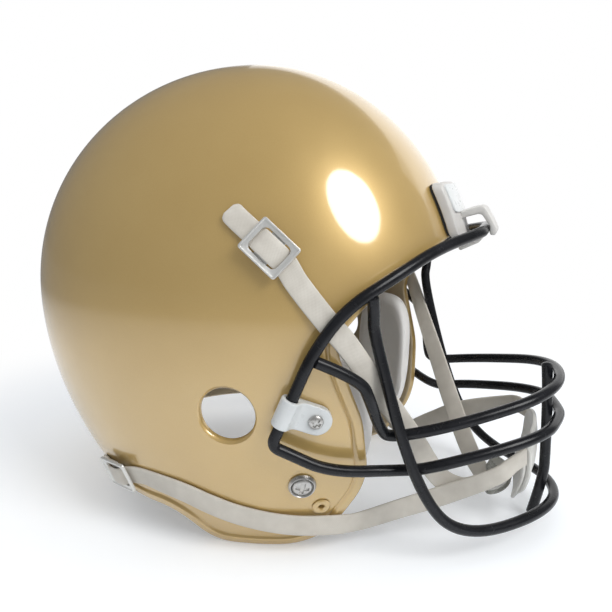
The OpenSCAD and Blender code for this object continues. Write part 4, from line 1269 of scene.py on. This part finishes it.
gasket = [(s, GASKET_LOW + GASKET_T * q) for s, q in (
    (0.01, 1), (0.4, 1), (0.8, 1), (0.995, 1), (1, 0.8), (1, 0.2), (0.995, 0), (0.8, 0), (0.4, 0), (0.01, 0))]
add_piece("bumper_gasket_sheet", "bumper_gasket",
          front_patch(0, (BUMPER_HALF_W - 1.4, BUMPER_H / 2 - 1.4), gasket, 7), GASKET)
add_piece("bumper_pad", "bumper",
          front_patch(0, (BUMPER_HALF_W - 0.8, BUMPER_H / 2 - 0.8),
                      plate_profile(BUMPER_LOW + BUMPER_T, BUMPER_T, 0.9, 18), 8), BUMPER)
bumper_slab("bumper_hook", [
    (-17, 10), (-14, 10.3), (-7.7, 12.6), (-2.8, 13.9), (-0.4, 13.7), (0.9, 12.4), (4.6, 6.4), (7.5, 0.8),
    (7.5, -1.4), (6.4, -2.6), (4.2, -2.6), (3.5, -1), (3.5, 2.4), (-1.4, 9.2), (-3.6, 9.4), (-9, 7.8),
    (-13.2, 6.4), (-17, 6)], HOOK_HALF_W)
bumper_slab("bumper_tongue", [
    (-13.2, -2), (-8.5, -3.2), (-5, -4.6), (0.5, -3.8), (-2, -7), (-12, -12), (-13.4, -11.5)], TONGUE_HALF_W)
add_piece("bumper_bare_plate", "bumper_plate",
          front_patch(PLATE_UP, (PLATE_HALF_W, PLATE_HALF_H),
                      plate_profile(BUMPER_LOW + BUMPER_T + 1.1, PLATE_T, 0.5, 14), 9), PLATE)


# Stage
def make_floor():
    """A pale floor that shows white to the camera and keeps the object's shadow."""
    data = bpy.data.meshes.new("floor")
    r = FLOOR_HALF
    data.from_pydata([(-r, -r, 0), (r, -r, 0), (r, r, 0), (-r, r, 0)], [], [(0, 1, 2, 3)])
    floor = bpy.data.objects.new("floor", data)
    bpy.context.scene.collection.objects.link(floor)
    material = bpy.data.materials.new("floor_white")
    material.use_nodes = True
    material.node_tree.nodes.clear()
    look = Nodes(material.node_tree)
    rays = look.add("LightPath").outputs
    in_gloss = rays["Is Glossy Ray"]
    seen = look.math("MAXIMUM", rays["Is Camera Ray"], in_gloss)
    seen = look.math("MAXIMUM", seen, rays["Is Transmission Ray"])
    diffuse = look.add("BsdfDiffuse", {"Color": (0.82, 0.84, 0.86, 1)})
    lift = look.add("Emission", {"Strength": look.math("MULTIPLY", seen, FLOOR_LIFT)})
    near = look.add("AddShader", {0: diffuse, 1: lift})
    # away from the object the floor turns to plain white and meets the background without an edge
    place = look.add("TexCoord").outputs["Object"]
    away = look.add("VectorMath", {0: place}, operation="LENGTH").outputs["Value"]
    share = look.math("MULTIPLY", look.ramp(away, 0, 1, FLOOR_FADE, "SMOOTHSTEP"), seen)
    # in gloss the bright floor ends softly, as a lit sweep does
    fall = look.math("MULTIPLY", look.ramp(away, 0, 1 - ROOM, GLOSS_FADE, "SMOOTHSTEP"), in_gloss)
    far = look.add("Emission", {"Strength": look.math("SUBTRACT", 1.0, fall)})
    mixed = look.add("MixShader", {0: share, 1: near, 2: far})
    look.add("OutputMaterial", {"Surface": mixed})
    data.materials.append(material)


def make_world():
    """Even light and a white background. Gloss shows white behind the object and a dim room on the
    camera's side."""
    world = bpy.data.worlds.new("studio")
    bpy.context.scene.world = world
    world.use_nodes = True
    world.node_tree.nodes.clear()
    look = Nodes(world.node_tree)
    rays = look.add("LightPath").outputs
    ambient = look.add("Background", {"Color": (0.93, 0.96, 1.0, 1), "Strength": AMBIENT})
    way = look.add("TexCoord").outputs["Generated"]
    facing = look.add("VectorMath", {0: way, 1: tuple(unit(BACKDROP_WAY))}, operation="DOT_PRODUCT")
    room_level = look.ramp(facing.outputs["Value"], ROOM, 1, BACKDROP_EDGE, "SMOOTHSTEP")
    room = look.add("Background", {"Strength": room_level})
    lit = look.add("MixShader", {0: rays["Is Glossy Ray"], 1: ambient, 2: room})
    white = look.add("Background", {"Color": (1, 1, 1, 1), "Strength": 1})
    seen = look.math("MAXIMUM", rays["Is Camera Ray"], rays["Is Transmission Ray"])
    mixed = look.add("MixShader", {0: seen, 1: lit, 2: white})
    look.add("OutputWorld", {"Surface": mixed})


def stand(name, data, x, y, z, place):
    """An object with its three axes and its place set."""
    holder = bpy.data.objects.new(name, data)
    holder.matrix_world = Matrix([*np.column_stack([x, y, z, place]).tolist(), (0, 0, 0, 1)])
    bpy.context.scene.collection.objects.link(holder)
    return holder


def soft_box(name, place, aim, shape, size, power, diffuse=True, glossy=True):
    """An area light that looks from its place at its aim."""
    lamp = bpy.data.lights.new(name, "AREA")
    lamp.shape = shape
    lamp.size, lamp.size_y = size
    lamp.energy = power
    z = unit(vec(*place) - vec(*aim))
    x = unit(np.cross(vec(0, 0, 1), z))
    holder = stand(name, lamp, x, np.cross(z, x), z, place)
    holder.visible_diffuse = diffuse
    holder.visible_glossy = glossy


def make_camera():
    camera = bpy.data.cameras.new("camera")
    camera.lens = 36
    camera.sensor_width = 36
    camera.sensor_fit = "HORIZONTAL"
    camera.clip_start = 0.01
    ahead = vec(-math.sin(YAW) * math.cos(PITCH), math.cos(YAW) * math.cos(PITCH), -math.sin(PITCH))
    right = vec(math.cos(YAW), math.sin(YAW), 0)
    bpy.context.scene.camera = stand("camera", camera, right, np.cross(right, ahead), -ahead, EYE)
    bpy.context.scene.view_settings.view_transform = "Standard"


make_floor()
make_world()
# a soft box for the broad highlight, a soft top light, and a pale wall behind for the rims
soft_box("key", (0.94, -0.42, 0.94), (0.064, -0.075, 0.2), "ELLIPSE", (0.66, 0.76), 9.6)
soft_box("top", (-0.1, -0.2, 1.6), (0, 0, 0.1), "RECTANGLE", (1.4, 1.4), 5, glossy=False)
soft_box("wall", (0.3, 1.5, 0.62), (0, 0, 0.2), "RECTANGLE", (2.2, 1.5), 5, diffuse=False)
make_camera()
